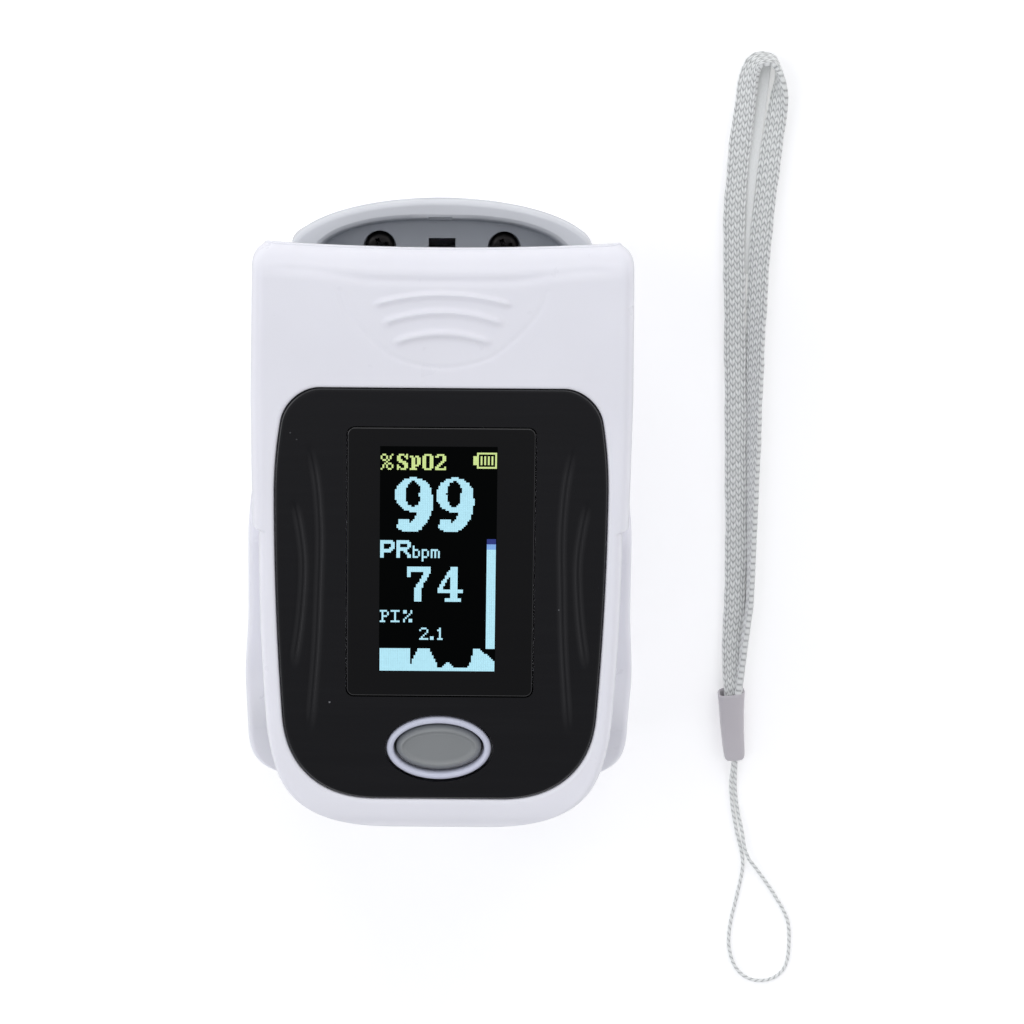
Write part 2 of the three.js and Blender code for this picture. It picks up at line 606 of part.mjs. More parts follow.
/** A closing spring: a coil on the hinge pin with two legs that push the squeezed ends apart. */
function torsionSpring(side) {
  const [turns, radius, inner, outer] = [3, 2.0, 10.4, 13.6];
  const coil = stationsBetween(0, 1, turns * 12).map((t) => {
    const angle = -Math.PI / 2 + 2 * Math.PI * (turns + 0.5) * t;
    const x = side * (inner + (outer - inner) * t);
    return [x, HINGE_Y + radius * Math.cos(angle), HINGE_Z + radius * Math.sin(angle)];
  });
  const points = [
    [side * inner, -17.5, 14.3], [side * inner, -14.5, 14.4],
    ...coil,
    [side * outer, -14.5, 18.75], [side * outer, -17.5, 19.3],
  ];
  return toSolid(wire(curveThrough(points), 0.33, 76, 6));
}

/** The flat lead between the jaws, drawn at rest. */
function flexCable() {
  const centre = [[2, 12.57], [-6.9, 12.57], [-7.6, 12.8], [-8, 13.5], [-8.3, 16], [-8.3, 24.9]];
  const shift = (distance) => centre.map(([y, z], i) => {
    const [before, after] = [centre[Math.max(0, i - 1)], centre[Math.min(centre.length - 1, i + 1)]];
    const along = new THREE.Vector2(after[0] - before[0], after[1] - before[1]).normalize();
    return [y - distance * along.y, z + distance * along.x];
  });
  return sideExtrude([...shift(0.08), ...shift(-0.08).reverse()], -2.2, 2.2);
}

function batteryCover() {
  const blank = join(
    slab(DOOR.half, -35, DOOR.front, -2, 1.5),
    ...bothSides((side) => box(...span(side, 10.95, DOOR.half), -27.5, DOOR.front, 1, 2.3)),
    ...bothSides((side) => box(...span(side, 10.95, DOOR.rail), -27.5, DOOR.front, 1.5, 2.3)),
    slab(DOOR.half, -35, -27.3, -2, 5),
    slab(DOOR.half, -27.5, -26, 1, 2.3),
  );
  return blank.intersect(lowerLoft(0.25, 20));
}

// ---- Lanyard, lying beside the device ----
const STRAP_ROUTE = [
  [29.3, -23.2, 1.4], [29.1, -21.3, 1.3], [29.1, -18.7, 1.1], [29.4, -15.6, 0.9], [29.4, -13.8, 0.8],
  [29.4, -8.8, 0.6], [29.2, -4.2, 0.5], [29.0, 1.7, 0.5], [28.9, 6.8, 0.5], [28.6, 12.0, 0.5],
  [28.4, 17.1, 0.5], [28.1, 22.1, 0.5], [28.0, 26.5, 0.5], [28.4, 32.2, 0.5], [28.8, 37.2, 0.5],
  [29.3, 39.7, 0.5], [30.0, 41.0, 0.6], [30.7, 41.4, 0.7], [31.5, 40.9, 0.7], [32.0, 39.6, 0.7],
  [32.1, 37.3, 0.7], [31.4, 32.3, 0.7], [30.9, 26.5, 0.7], [30.5, 22.2, 0.7], [30.4, 17.1, 0.7],
  [30.4, 12.0, 0.7], [30.5, 6.9, 0.7], [30.6, 1.7, 0.7], [30.7, -4.1, 0.7], [30.8, -8.7, 0.7],
  [31.0, -13.8, 0.6], [30.8, -16.1, 0.5], [30.5, -18.7, 0.5], [30.1, -21.2, 0.5], [29.7, -23.2, 0.5],
];
const STRING_ROUTE = [
  [29.6, -31.5, 0.9], [29.5, -33.9, 0.3], [29.8, -36.4, 0.25], [30.3, -38.9, 0.25], [30.8, -40.9, 0.25],
  [31.05, -42.3, 0.25], [30.95, -43.7, 0.25], [30.5, -46.2, 0.25], [29.95, -49.0, 0.25], [29.85, -51.5, 0.25],
  [30.5, -53.7, 0.25], [31.7, -55.0, 0.25], [33.3, -55.6, 0.25], [34.8, -54.9, 0.25], [35.9, -53.6, 0.25],
  [36.3, -51.4, 0.25], [35.95, -48.6, 0.25], [34.5, -46.0, 0.25], [32.8, -43.5, 0.3], [31.7, -42.0, 0.5],
  [31.2, -40.8, 0.62], [30.85, -38.9, 0.5], [30.45, -36.9, 0.3], [30.2, -35.0, 0.25], [30.15, -31.5, 0.9],
];

/** The tapered sleeve that joins the strap to the thin loop. */
function lanyardFerrule() {
  const [start, end] = [new THREE.Vector3(29.2, -23.6, 1.0), new THREE.Vector3(29.85, -31.1, 1.0)];
  const rings = [[end, 0.98, 0.78], [start, 1.32, 0.95]].map(([centre, half, rise]) =>
    section(centre.y, { half, low: 1.0 - rise, high: 1.0 + rise, lowRadius: 0.7, highRadius: 0.7 }).map(
      ([x, y, z]) => [x + centre.x, y, z],
    ),
  );
  return loft(rings);
}

const strap = () => toSolid(wire(curveThrough(STRAP_ROUTE), STRAP_TUBE, 64, 8));
const string = () => toSolid(wire(curveThrough(STRING_ROUTE), STRING_TUBE, 64, 8));

// ---- Assembly ----
const oximeter = new THREE.Group();
oximeter.name = "pulse_oximeter";

function place(name, finish, solid) {
  const mesh = new THREE.Mesh(toGeometry(solid), new THREE.MeshStandardMaterial(FINISHES[finish]));
  mesh.name = name;
  oximeter.add(mesh);
}

place("top_cover", "white_shell", topCover());
place("face_panel", "black_gloss", facePanel());
place("display_window", "window", displayWindow());
place("display_gasket", "foam", displayGasket());
place("oled_display", "display_glass", oledDisplay());
place("display_ribbon", "amber_film", displayRibbon());
place("main_board", "board_green", mainBoard());
place("mcu_chip", "chip_black", slab(3.5, 9, 16, 24.45, 25.2));
place("amplifier_chip", "chip_black", box(-7.5, -3.5, -1, 4, 24.45, 25.2));
place("tact_switch_body", "chip_black", tactSwitchBody());
place("tact_switch_plunger", "black_gloss", tactSwitchPlunger());
place("power_button", "button_grey", powerButton());
place("upper_liner", "grey_liner", upperLiner());
place("upper_finger_pad", "rubber_pad", upperFingerPad());
place("emitter_board", "board_green", emitterBoard());
place("led_emitter", "clear_resin", ledEmitter());
[LINER_SCREW_FRONT, LINER_SCREW_REAR].forEach(({ x, y }, row) => {
  [-1, 1].forEach((side, column) => {
    const solid = y > 0 ? screw(side * x, y, 18.5, 8.5, -1) : screw(side * x, y, 21.1, 4.9, -1);
    place(`upper_screw_${2 * row + column + 1}`, "steel", solid);
  });
});

place("bottom_cover", "white_shell", bottomCover());
place("lower_tray", "grey_liner", lowerTray());
place("lower_finger_pad", "rubber_pad", lowerFingerPad());
place("sensor_board", "board_green", sensorBoard());
place("photodiode", "chip_black", photodiode());
place("photodiode_window", "clear_resin", photodiodeWindow());
[FRONT_SCREW, SIDE_SCREW].forEach(({ x, y }, row) => {
  [-1, 1].forEach((side, column) => {
    const solid = screw(side * x, y, row ? 14.7 : 12.6, 6, 1);
    place(`lower_screw_${2 * row + column + 1}`, "black_steel", solid);
  });
});
place("hinge_pin", "steel", bar(0.8, -17.75, 17.75, HINGE_Y, HINGE_Z, 16));
place("torsion_spring_left", "steel", torsionSpring(-1));
place("torsion_spring_right", "steel", torsionSpring(1));
place("flex_cable", "amber_film", flexCable());
place("battery_1", "cell_jacket", cell(CELL.x, 21.3, 1));
place("battery_2", "cell_jacket", cell(-CELL.x, -24.6, -1));
place("positive_contact", "steel", positiveContact());
place("negative_contact", "steel", negativeContact());
place("bridge_contact", "steel", bridgeContact());
place("battery_cover", "white_shell", batteryCover());

place("lanyard_ferrule", "ferrule", lanyardFerrule());
place("lanyard_strap", "cord", strap());
place("lanyard_string", "cord", string());

export default oximeter;
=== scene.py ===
"""Looks of the fingertip pulse oximeter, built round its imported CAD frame.

Lengths in this script are millimetres in the row frame unless a name says otherwise.
"""

import math

import bmesh
import bpy
import numpy as np
from mathutils import Matrix, Vector


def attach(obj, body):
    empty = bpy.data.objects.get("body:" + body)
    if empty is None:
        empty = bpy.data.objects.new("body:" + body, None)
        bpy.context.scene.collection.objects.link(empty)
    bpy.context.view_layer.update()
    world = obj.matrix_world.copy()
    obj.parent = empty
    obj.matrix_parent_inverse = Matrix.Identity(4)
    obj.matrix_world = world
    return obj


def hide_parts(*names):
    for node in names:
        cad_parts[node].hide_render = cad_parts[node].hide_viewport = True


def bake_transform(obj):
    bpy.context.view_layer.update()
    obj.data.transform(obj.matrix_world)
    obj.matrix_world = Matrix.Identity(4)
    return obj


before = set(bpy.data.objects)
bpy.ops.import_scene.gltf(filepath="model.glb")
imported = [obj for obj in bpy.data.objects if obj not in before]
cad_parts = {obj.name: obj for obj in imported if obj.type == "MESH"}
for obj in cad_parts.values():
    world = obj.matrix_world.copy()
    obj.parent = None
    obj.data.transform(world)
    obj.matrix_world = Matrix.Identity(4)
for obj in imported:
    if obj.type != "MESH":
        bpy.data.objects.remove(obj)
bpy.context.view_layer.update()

MM = 0.001
PI = math.pi
UP = [0.0, 0.0, 1.0]

# ---- Driving dimensions: the CAD's, but LIP_HALF is 0.4 mm more than the CAD's ----
FACE = 31.2
BROW = 0.5
COVER_HALF = 18.2
COVER_HALF_REAR = 16.9
EAR_HALF = 18.4
LOWER_WALL = 1.2
LOWER_RIM = 13.8
TRAY_TOP = 15.7
TRAY_FLOOR = 13.6
TRAY_UNDER = 12.75
LIP_HALF = 14.6
LIP_DEPTH = 5.1
SKIRT = 16.3
LINER_UNDER = 16.6
LINER_TOP = 24.1
HINGE_Y = -11.3
HINGE_Z = 16.5
HINGE_UNDER = 19.2
TAIL_UNDER = 22.4
PANEL_FRONT = 14.25
PANEL_REAR = -25.77
PANEL_HALF = 15.6
PANEL_FLOOR = 29.7
PANEL_TOP = 31.15
WINDOW_X, WINDOW_Y, WINDOW_CENTRE = 17.5, 25.9, -2.53
LIT_X, LIT_Y = 10.86, 21.74
LIT_CENTRE = (-0.25, -2.2)
BUTTON_Y = -20.74
BUTTON_HALF = (4.05, 2.2)
SENSOR_Y = 5.0
FINGER_HALF, FINGER_RISE, FINGER_DIP = 9.6, 5.2, 1.5
FINGER_REAR, FINGER_FRONT = -4.0, 22.0
CELL_RADIUS, CELL_LENGTH, CELL_X, CELL_Z = 5.25, 44.5, 5.6, 7.0
DOOR_HALF, DOOR_RAIL, DOOR_FRONT, DOOR_CLEAR = 11.6, 12.5, 18.7, 0.3
FRONT_SCREW = (6.0, 24.4)
SIDE_SCREW = (14.2, 6.0)
LINER_SCREWS = ((13.6, 19.0, 18.5, 8.5), (11.4, -21.0, 21.1, 4.9))


# ---- Camera ----
CAMERA_POINT = Vector((-3.0, 2.42, 31.2))
CAMERA_DISTANCE = 380.0
CAMERA_TILT = math.radians(14)
CAMERA_ROLL = math.radians(0.43)
CAMERA_SHIFT = 0.1006
CAMERA_LENS = 142.66
CAMERA_SENSOR = 36


def make_camera():
    data = bpy.data.cameras.new("camera")
    data.sensor_width = CAMERA_SENSOR
    data.lens = CAMERA_LENS
    data.shift_x = CAMERA_SHIFT
    data.clip_start, data.clip_end = 0.02, 20
    camera = bpy.data.objects.new("camera", data)
    bpy.context.scene.collection.objects.link(camera)
    back = Vector((0, math.sin(CAMERA_TILT), math.cos(CAMERA_TILT)))
    place = Matrix.Translation((CAMERA_POINT + back * CAMERA_DISTANCE) * MM)
    turn = Matrix.Rotation(-CAMERA_TILT, 4, "X") @ Matrix.Rotation(CAMERA_ROLL, 4, "Z")
    camera.matrix_world = place @ turn
    bpy.context.scene.camera = camera


make_camera()


# ---- Small maths ----
def clamp01(value):
    return np.clip(value, 0.0, 1.0)


def smooth(value):
    t = clamp01(value)
    return t * t * (3 - 2 * t)


def round_end(t, power):
    return (1 - clamp01(t) ** power) ** (1 / power)


def squared(value, power):
    """A sine or cosine with its sign kept, raised so that a round section turns squarer."""
    return np.sign(value) * np.abs(value) ** power


def end_steps(power, count):
    """Shares of a rounded end's length, close together where it turns in."""
    return np.sin(np.linspace(0, PI / 2, count)) ** (2 / power)


def line_distance(x, y, points):
    """Distance from each x, y to a line through points, and the share along it of the nearest point."""
    points = np.asarray(points, float)
    best, along = np.full(np.shape(x), 1e9), np.zeros(np.shape(x))
    for i, (a, b) in enumerate(zip(points[:-1], points[1:])):
        d = b - a
        t = clamp01(((x - a[0]) * d[0] + (y - a[1]) * d[1]) / (d @ d))
        gap = np.hypot(x - a[0] - t * d[0], y - a[1] - t * d[1])
        nearer = gap < best
        best = np.where(nearer, gap, best)
        along = np.where(nearer, (i + t) / (len(points) - 1), along)
    return best, along


def curve_through(points, spacing):
    """Evenly spaced points on a Catmull-Rom curve through points."""
    p = np.asarray(points, float)
    p = np.vstack([2 * p[0] - p[1], p, 2 * p[-1] - p[-2]])
    t = np.linspace(0, 1, 24, endpoint=False)[:, None]
    spans = []
    for a, b, c, d in zip(p[:-3], p[1:-2], p[2:-1], p[3:]):
        spans.append(
            0.5 * (
                2 * b + (c - a) * t + (2 * a - 5 * b + 4 * c - d) * t**2 + (3 * b - a - 3 * c + d) * t**3
            )
        )
    dense = np.vstack([*spans, p[-2:-1]])
    travel = np.concatenate([[0], np.cumsum(np.linalg.norm(np.diff(dense, axis=0), axis=1))])
    even = np.linspace(0, travel[-1], max(2, int(round(travel[-1] / spacing)) + 1))
    return np.stack([np.interp(even, travel, dense[:, k]) for k in range(3)], 1), even


def unit(v):
    return v / np.maximum(np.linalg.norm(v, axis=-1, keepdims=True), 1e-12)


# ---- Mesh tools ----
def new_object(name, verts, faces):
    mesh = bpy.data.meshes.new(name)
    mesh.from_pydata((np.asarray(verts, float) * MM).tolist(), [], faces)
    obj = bpy.data.objects.new(name, mesh)
    bpy.context.scene.collection.objects.link(obj)
    bm = bmesh.new()
    bm.from_mesh(mesh)
    bmesh.ops.remove_doubles(bm, verts=bm.verts, dist=1e-8)
    bmesh.ops.dissolve_degenerate(bm, edges=bm.edges, dist=1e-9)
    bmesh.ops.recalc_face_normals(bm, faces=bm.faces)
    bm.to_mesh(mesh)
    bm.free()
    return obj


def quads(count, size, wrap_rings=False):
    i = np.arange(count if wrap_rings else count - 1)[:, None]
    j = np.arange(size)[None, :]
    k, n = (i + 1) % count, (j + 1) % size
    return np.stack([i * size + j, i * size + n, k * size + n, k * size + j], -1).reshape(-1, 4).tolist()


def loft(name, rings, wrap_rings=False, first_cap=True, last_cap=True):
    """A mesh through rings of points with equal counts."""
    rings = np.asarray(rings, float)
    count, size = rings.shape[:2]
    faces = quads(count, size, wrap_rings)
    if not wrap_rings and first_cap:
        faces.append(list(range(size))[::-1])
    if not wrap_rings and last_cap:
        faces.append(list(range((count - 1) * size, count * size)))
    return new_object(name, rings.reshape(-1, 3), faces)


def prism(outline, z0, z1, name="cutter"):
    outline = np.asarray(outline, float)
    return loft(name, [np.column_stack([outline, np.full(len(outline), z)]) for z in (z0, z1)])


def box(x0, x1, y0, y1, z0, z1, name="cutter"):
    return prism([(x0, y0), (x1, y0), (x1, y1), (x0, y1)], z0, z1, name)


def slab(half, y0, y1, z0, z1, name="cutter"):
    return box(-half, half, y0, y1, z0, z1, name)


def circle(radius, x=0.0, y=0.0, count=48):
    a = np.linspace(0, 2 * PI, count, endpoint=False)
    return np.column_stack([x + radius * np.cos(a), y + radius * np.sin(a)])


def post(radius, x, y, z0, z1, count=48, name="cutter"):
    return prism(circle(radius, x, y, count), z0, z1, name)


def side_extrude(points, x0, x1, name="cutter"):
    """A side profile of y, z points, from x0 to x1."""
    points = np.asarray(points, float)
    return loft(name, [np.column_stack([np.full(len(points), x), points]) for x in (x0, x1)])


def front_extrude(points, y0, y1, name="cutter"):
    """A front profile of x, z points, from y0 to y1."""
    p = np.asarray(points, float)
    return loft(name, [np.column_stack([p[:, 0], np.full(len(p), y), p[:, 1]]) for y in (y0, y1)])


def apply_modifiers(obj):
    bpy.context.view_layer.update()
    graph = bpy.context.evaluated_depsgraph_get()
    mesh = bpy.data.meshes.new_from_object(obj.evaluated_get(graph))
    obj.modifiers.clear()
    old, obj.data = obj.data, mesh
    bpy.data.meshes.remove(old)
    mesh.name = obj.name


def carve(obj, *tools, operation="DIFFERENCE"):
    for tool in tools:
        modifier = obj.modifiers.new("carve", "BOOLEAN")
        modifier.operation, modifier.solver, modifier.object = operation, "EXACT", tool
    apply_modifiers(obj)
    for tool in tools:
        mesh = tool.data
        bpy.data.objects.remove(tool)
        bpy.data.meshes.remove(mesh)
    return obj


def join(obj, *others):
    return carve(obj, *others, operation="UNION")


def bevel(obj, width, segments=2, angle=40):
    modifier = obj.modifiers.new("bevel", "BEVEL")
    modifier.width, modifier.segments = width * MM, segments
    modifier.limit_method, modifier.angle_limit = "ANGLE", math.radians(angle)
    apply_modifiers(obj)
    return obj


def shade(obj, angle=35):
    obj.data.shade_smooth()
    obj.data.set_sharp_from_angle(angle=math.radians(angle))


def finish_piece(obj, body, material, replaces=(), angle=35, weighted=True):
    """Gives a finished mesh its material and shading, and makes it ride on its body."""
    shade(obj, angle)
    if weighted:
        modifier = obj.modifiers.new("normals", "WEIGHTED_NORMAL")
        modifier.keep_sharp = True
    obj.data.materials.clear()
    obj.data.materials.append(material)
    if isinstance(body, str):
        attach(obj, body)
    if replaces:
        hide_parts(*replaces)
    return obj


def cross_frames(centres, normals):
    """Tangent, width and normal directions along a line, from wished normals."""
    tangent = unit(np.gradient(centres, axis=0))
    normal = normals - (normals * tangent).sum(1, keepdims=True) * tangent
    normal = unit(normal)
    return tangent, np.cross(tangent, normal), normal


def tube(name, points, radius, sides=16, spacing=0.2):
    """A round wire along points, with its frame carried along without twist."""
    centres, _ = curve_through(points, spacing)
    tangent = unit(np.gradient(centres, axis=0))
    normal = np.zeros_like(centres)
    seed = np.array([0.0, 0.0, 1.0]) if abs(tangent[0][2]) < 0.9 else np.array([0.0, 1.0, 0.0])
    for i, t in enumerate(tangent):
        seed = seed - (seed @ t) * t
        seed = seed / np.linalg.norm(seed)
        normal[i] = seed
    across = np.cross(tangent, normal)
    a = np.linspace(0, 2 * PI, sides, endpoint=False)
    ring = np.cos(a)[None, :, None] * across[:, None] + np.sin(a)[None, :, None] * normal[:, None]
    rings = centres[:, None] + radius * ring
    ends = [centres[0] - tangent[0] * radius * 0.4 + 0.6 * radius * ring[0]]
    tail = [centres[-1] + tangent[-1] * radius * 0.4 + 0.6 * radius * ring[-1]]
    return loft(name, np.concatenate([ends, rings, tail]))


# ---- Materials ----
class Nodes:
    """A material's node tree, with short calls to add to it."""

    def __init__(self, name, colour, roughness, metallic=0.0):
        self.material = bpy.data.materials.new(name)
        self.material.use_nodes = True
        self.tree = self.material.node_tree
        self.shader = self.tree.nodes["Principled BSDF"]
        self.set("Base Color", (*colour, 1))
        self.set("Roughness", roughness)
        self.set("Metallic", metallic)
        self.place = self.add("ShaderNodeTexCoord").outputs["Object"]

    def set(self, socket, value):
        self.shader.inputs[socket].default_value = value

    def add(self, kind, **values):
        node = self.tree.nodes.new(kind)
        for key, value in values.items():
            setattr(node, key, value)
        return node

    def link(self, source, target):
        self.tree.links.new(source, target)

    def mapped(self, scale):
        node = self.add("ShaderNodeMapping")
        node.inputs["Scale"].default_value = scale
        self.link(self.place, node.inputs["Vector"])
        return node.outputs["Vector"]

    def noise(self, scale, detail=3.0, roughness=0.5, vector=None):
        node = self.add("ShaderNodeTexNoise")
        node.inputs["Scale"].default_value = scale
        node.inputs["Detail"].default_value = detail
        node.inputs["Roughness"].default_value = roughness
        self.link(vector or self.place, node.inputs["Vector"])
        return node.outputs["Fac"]

    def voronoi(self, scale, feature="F1", vector=None):
        node = self.add("ShaderNodeTexVoronoi", feature=feature)
        node.inputs["Scale"].default_value = scale
        self.link(vector or self.place, node.inputs["Vector"])
        return node.outputs["Distance"]

    def attribute(self, name):
        return self.add("ShaderNodeAttribute", attribute_name=name).outputs["Fac"]

    def ramp(self, factor, *stops):
        node = self.add("ShaderNodeValToRGB")
        elements = node.color_ramp.elements
        while len(elements) < len(stops):
            elements.new(0.5)
        for element, (position, colour) in zip(elements, stops):
            value = colour if hasattr(colour, "__len__") else (colour,) * 3
            element.position, element.color = position, (*value, 1)
        self.link(factor, node.inputs["Fac"])
        return node.outputs["Color"]

    def maths(self, operation, a, b=None):
        node = self.add("ShaderNodeMath", operation=operation)
        for socket, value in zip(node.inputs, (a, b)):
            if value is None:
                continue
            if isinstance(value, (int, float)):
                socket.default_value = value
            else:
                self.link(value, socket)
        return node.outputs[0]

    def mix(self, factor, a, b):
        node = self.add("ShaderNodeMix", data_type="RGBA")
        self.link(factor, node.inputs[0])
        for socket, value in ((node.inputs[6], a), (node.inputs[7], b)):
            if isinstance(value, tuple):
                socket.default_value = (*value, 1)
            else:
                self.link(value, socket)
        return node.outputs[2]

    def times(self, a, b):
        node = self.add("ShaderNodeMix", data_type="RGBA", blend_type="MULTIPLY")
        node.inputs[0].default_value = 1
        self.link(a, node.inputs[6])
        self.link(b, node.inputs[7])
        return node.outputs[2]

    def colour(self, source):
        self.link(source, self.shader.inputs["Base Color"])

    def rough(self, source, low, high):
        self.link(self.ramp(source, (0.3, low), (0.7, high)), self.shader.inputs["Roughness"])

    def bump(self, height, strength, depth_mm):
        node = self.add("ShaderNodeBump")
        node.inputs["Strength"].default_value = strength
        node.inputs["Distance"].default_value = depth_mm * MM
        self.link(height, node.inputs["Height"])
        self.link(node.outputs["Normal"], self.shader.inputs["Normal"])


def srgb(r, g, b):
    """Linear colour of 0 to 255 screen values."""
    return tuple((v / 255 / 12.92) if v <= 10 else (((v / 255) + 0.055) / 1.055) ** 2.4 for v in (r, g, b))


def dim(colour, share):
    return tuple(v * share for v in colour)


def plastic(name, colour, roughness, grain=0.4, bump=0.05, spread=0.02, coat=0.0):
    """Moulded plastic: faint mottling, uneven gloss and a fine mould texture with grain in millimetres."""
    n = Nodes(name, colour, roughness)
    mottle = n.noise(160, 4)
    n.colour(n.ramp(mottle, (0.3, dim(colour, 1 - spread)), (0.7, dim(colour, 1 + spread))))
    n.rough(n.noise(420, 3), max(0.02, roughness - 0.05), roughness + 0.06)
    n.bump(n.noise(1000 / grain, 2), bump, 0.05)
    n.set("Specular IOR Level", 0.5)
    if coat:
        n.set("Coat Weight", coat)
        n.set("Coat Roughness", 0.08)
    return n.material


WHITE = srgb(238, 238, 244)


def white_shell():
    n = Nodes("white_shell", WHITE, 0.32)
    mottle = n.ramp(n.noise(120, 4), (0.3, dim(WHITE, 0.985)), (0.7, dim(WHITE, 1.01)))
    # Painted shade: the base colour darkens where the surface turns edge-on to the view, shading the shell's
    # sides and edges.
    facing = n.add("ShaderNodeLayerWeight")
    facing.inputs["Blend"].default_value = 0.5
    n.colour(
        n.times(
            mottle, n.ramp(facing.outputs["Facing"], (0.6, 1.0), (0.85, 0.88), (0.95, 0.68), (1.0, 0.35))
        )
    )
    n.rough(n.noise(350, 4), 0.27, 0.38)
    n.bump(n.noise(1800, 2), 0.03, 0.03)
    n.set("Subsurface Weight", 0.08)
    n.set("Subsurface Radius", (0.9, 0.9, 1.0))
    n.set("Subsurface Scale", 0.0006)
    n.set("Specular IOR Level", 0.3)
    return n.material


def tray_grey():
    """The liner's grey plastic, with painted shade: its colour darkens lower down in the finger channel,
    where the cover shades it.
    """
    n = Nodes("tray_grey", srgb(206, 209, 214), 0.4)
    # Painted shade: the colour runs from darker at the channel floor to lighter at the tray's top.
    split = n.add("ShaderNodeSeparateXYZ")
    n.link(n.place, split.inputs[0])
    height = n.add("ShaderNodeMapRange")
    n.link(split.outputs["Z"], height.inputs["Value"])
    for socket, value in zip(("From Min", "From Max"), (0.0138, 0.0155)):
        height.inputs[socket].default_value = value
    tone = n.mix(height.outputs["Result"], srgb(178, 182, 188), srgb(222, 224, 228))
    n.colour(n.times(tone, n.ramp(n.noise(160, 4), (0.3, 0.97), (0.7, 1.0))))
    n.rough(n.noise(420, 3), 0.3, 0.46)
    n.bump(n.noise(2000, 2), 0.06, 0.04)
    return n.material


def black_gloss(name, colour, roughness, dust, gloss=1.0):
    """Polished black plastic with faint hairlines and specks of dust."""
    n = Nodes(name, colour, roughness)
    hairlines = n.noise(900, 2, vector=n.mapped((0.08, 1.6, 1.0)))
    n.rough(hairlines, roughness * 0.8, roughness * 1.5)
    if dust:
        specks = n.ramp(n.voronoi(520), (0.035, 1.0), (0.055, 0.0))
        chosen = n.ramp(n.noise(240, 1), (0.60, 0.0), (0.64, 0.55))
        n.colour(n.mix(n.maths("MULTIPLY", specks, chosen), colour, srgb(150, 150, 155)))
    n.bump(n.noise(140, 2), 0.03, 0.05)
    n.set("Specular IOR Level", 0.5 * gloss)
    n.set("Coat Weight", 0.2 * gloss)
    n.set("Coat Roughness", 0.05)
    return n.material


def rubber():
    colour = srgb(157, 162, 170)
    n = Nodes("rubber_pad", colour, 0.75)
    n.colour(n.ramp(n.noise(260, 5), (0.3, dim(colour, 0.93)), (0.7, dim(colour, 1.05))))
    n.rough(n.noise(700, 3), 0.66, 0.84)
    n.bump(n.voronoi(2300), 0.25, 0.06)
    n.set("Sheen Weight", 0.15)
    return n.material


def board():
    """Green solder mask over fine copper lines, with pale pads."""
    n = Nodes("board_green", srgb(30, 92, 52), 0.42)
    lines = n.add("ShaderNodeTexWave", bands_direction="DIAGONAL")
    lines.inputs["Scale"].default_value = 420
    lines.inputs["Distortion"].default_value = 5.0
    n.link(n.place, lines.inputs["Vector"])
    traces = n.mix(n.ramp(lines.outputs["Fac"], (0.55, 0.0), (0.7, 1.0)), srgb(24, 78, 44), srgb(44, 118, 66))
    pads = n.ramp(n.voronoi(420), (0.10, 1.0), (0.13, 0.0))
    n.colour(n.mix(pads, traces, srgb(196, 190, 170)))
    n.bump(lines.outputs["Fac"], 0.2, 0.03)
    n.set("Coat Weight", 0.3)
    return n.material


def steel(name="steel", colour=(0.56, 0.57, 0.58), roughness=0.28):
    n = Nodes(name, colour, roughness, metallic=1.0)
    drawn = n.noise(900, 3, vector=n.mapped((0.15, 1.0, 1.0)))
    n.colour(n.ramp(drawn, (0.3, dim(colour, 0.85)), (0.7, dim(colour, 1.1))))
    n.rough(drawn, roughness - 0.08, roughness + 0.12)
    n.bump(drawn, 0.15, 0.02)
    return n.material


def film():
    """Amber polyimide film with copper lines along it."""
    n = Nodes("amber_film", srgb(186, 118, 40), 0.35)
    stripes = n.add("ShaderNodeTexWave", bands_direction="X")
    stripes.inputs["Scale"].default_value = 520
    n.link(n.place, stripes.inputs["Vector"])
    n.colour(
        n.mix(
            n.ramp(stripes.outputs["Fac"], (0.45, 0.0), (0.55, 1.0)), srgb(196, 126, 44), srgb(140, 78, 30)
        )
    )
    n.bump(stripes.outputs["Fac"], 0.3, 0.03)
    n.set("Coat Weight", 0.4)
    return n.material


def jacket():
    """A dry cell's printed jacket: blue with a pale band and steel ends."""
    n = Nodes("cell_jacket", srgb(60, 95, 143), 0.32, metallic=0.15)
    split = n.add("ShaderNodeSeparateXYZ")
    n.link(n.place, split.inputs[0])
    share = n.maths("ADD", n.maths("MULTIPLY", split.outputs["Y"], 20.0), 0.5)
    blue, pale, metal = srgb(52, 86, 138), srgb(206, 212, 220), srgb(176, 178, 182)
    bands = n.ramp(share, (0.0, metal), (0.03, blue), (0.30, pale), (0.42, blue), (0.9, metal))
    for element in bands.node.color_ramp.elements:
        element.position = min(1.0, element.position)
    bands.node.color_ramp.interpolation = "CONSTANT"
    n.colour(n.mix(n.ramp(n.noise(500, 4), (0.45, 0.0), (0.8, 0.12)), bands, (0.9, 0.92, 0.95)))
    n.bump(n.noise(700, 3), 0.08, 0.03)
    n.set("Coat Weight", 0.5)
    return n.material


def yarn(name, light, dark):
    """Braided yarn with painted shade: pale on the stitches and darker in the hollows between them, with fine
    fibres.
    """
    n = Nodes(name, light, 0.62)
    height = n.attribute("stitch")
    fibres = n.noise(9000, 3, vector=n.mapped((1.0, 0.35, 1.0)))
    tone = n.maths("ADD", height, n.maths("MULTIPLY", n.maths("SUBTRACT", fibres, 0.5), 0.35))
    # Painted shade: the dark end of the ramp fills the hollows between stitches and strands.
    n.colour(n.ramp(tone, (0.10, dark), (0.45, dim(light, 0.80)), (0.85, light)))
    n.bump(fibres, 0.35, 0.03)
    n.set("Sheen Weight", 0.25)
    n.set("Sheen Roughness", 0.4)
    return n.material


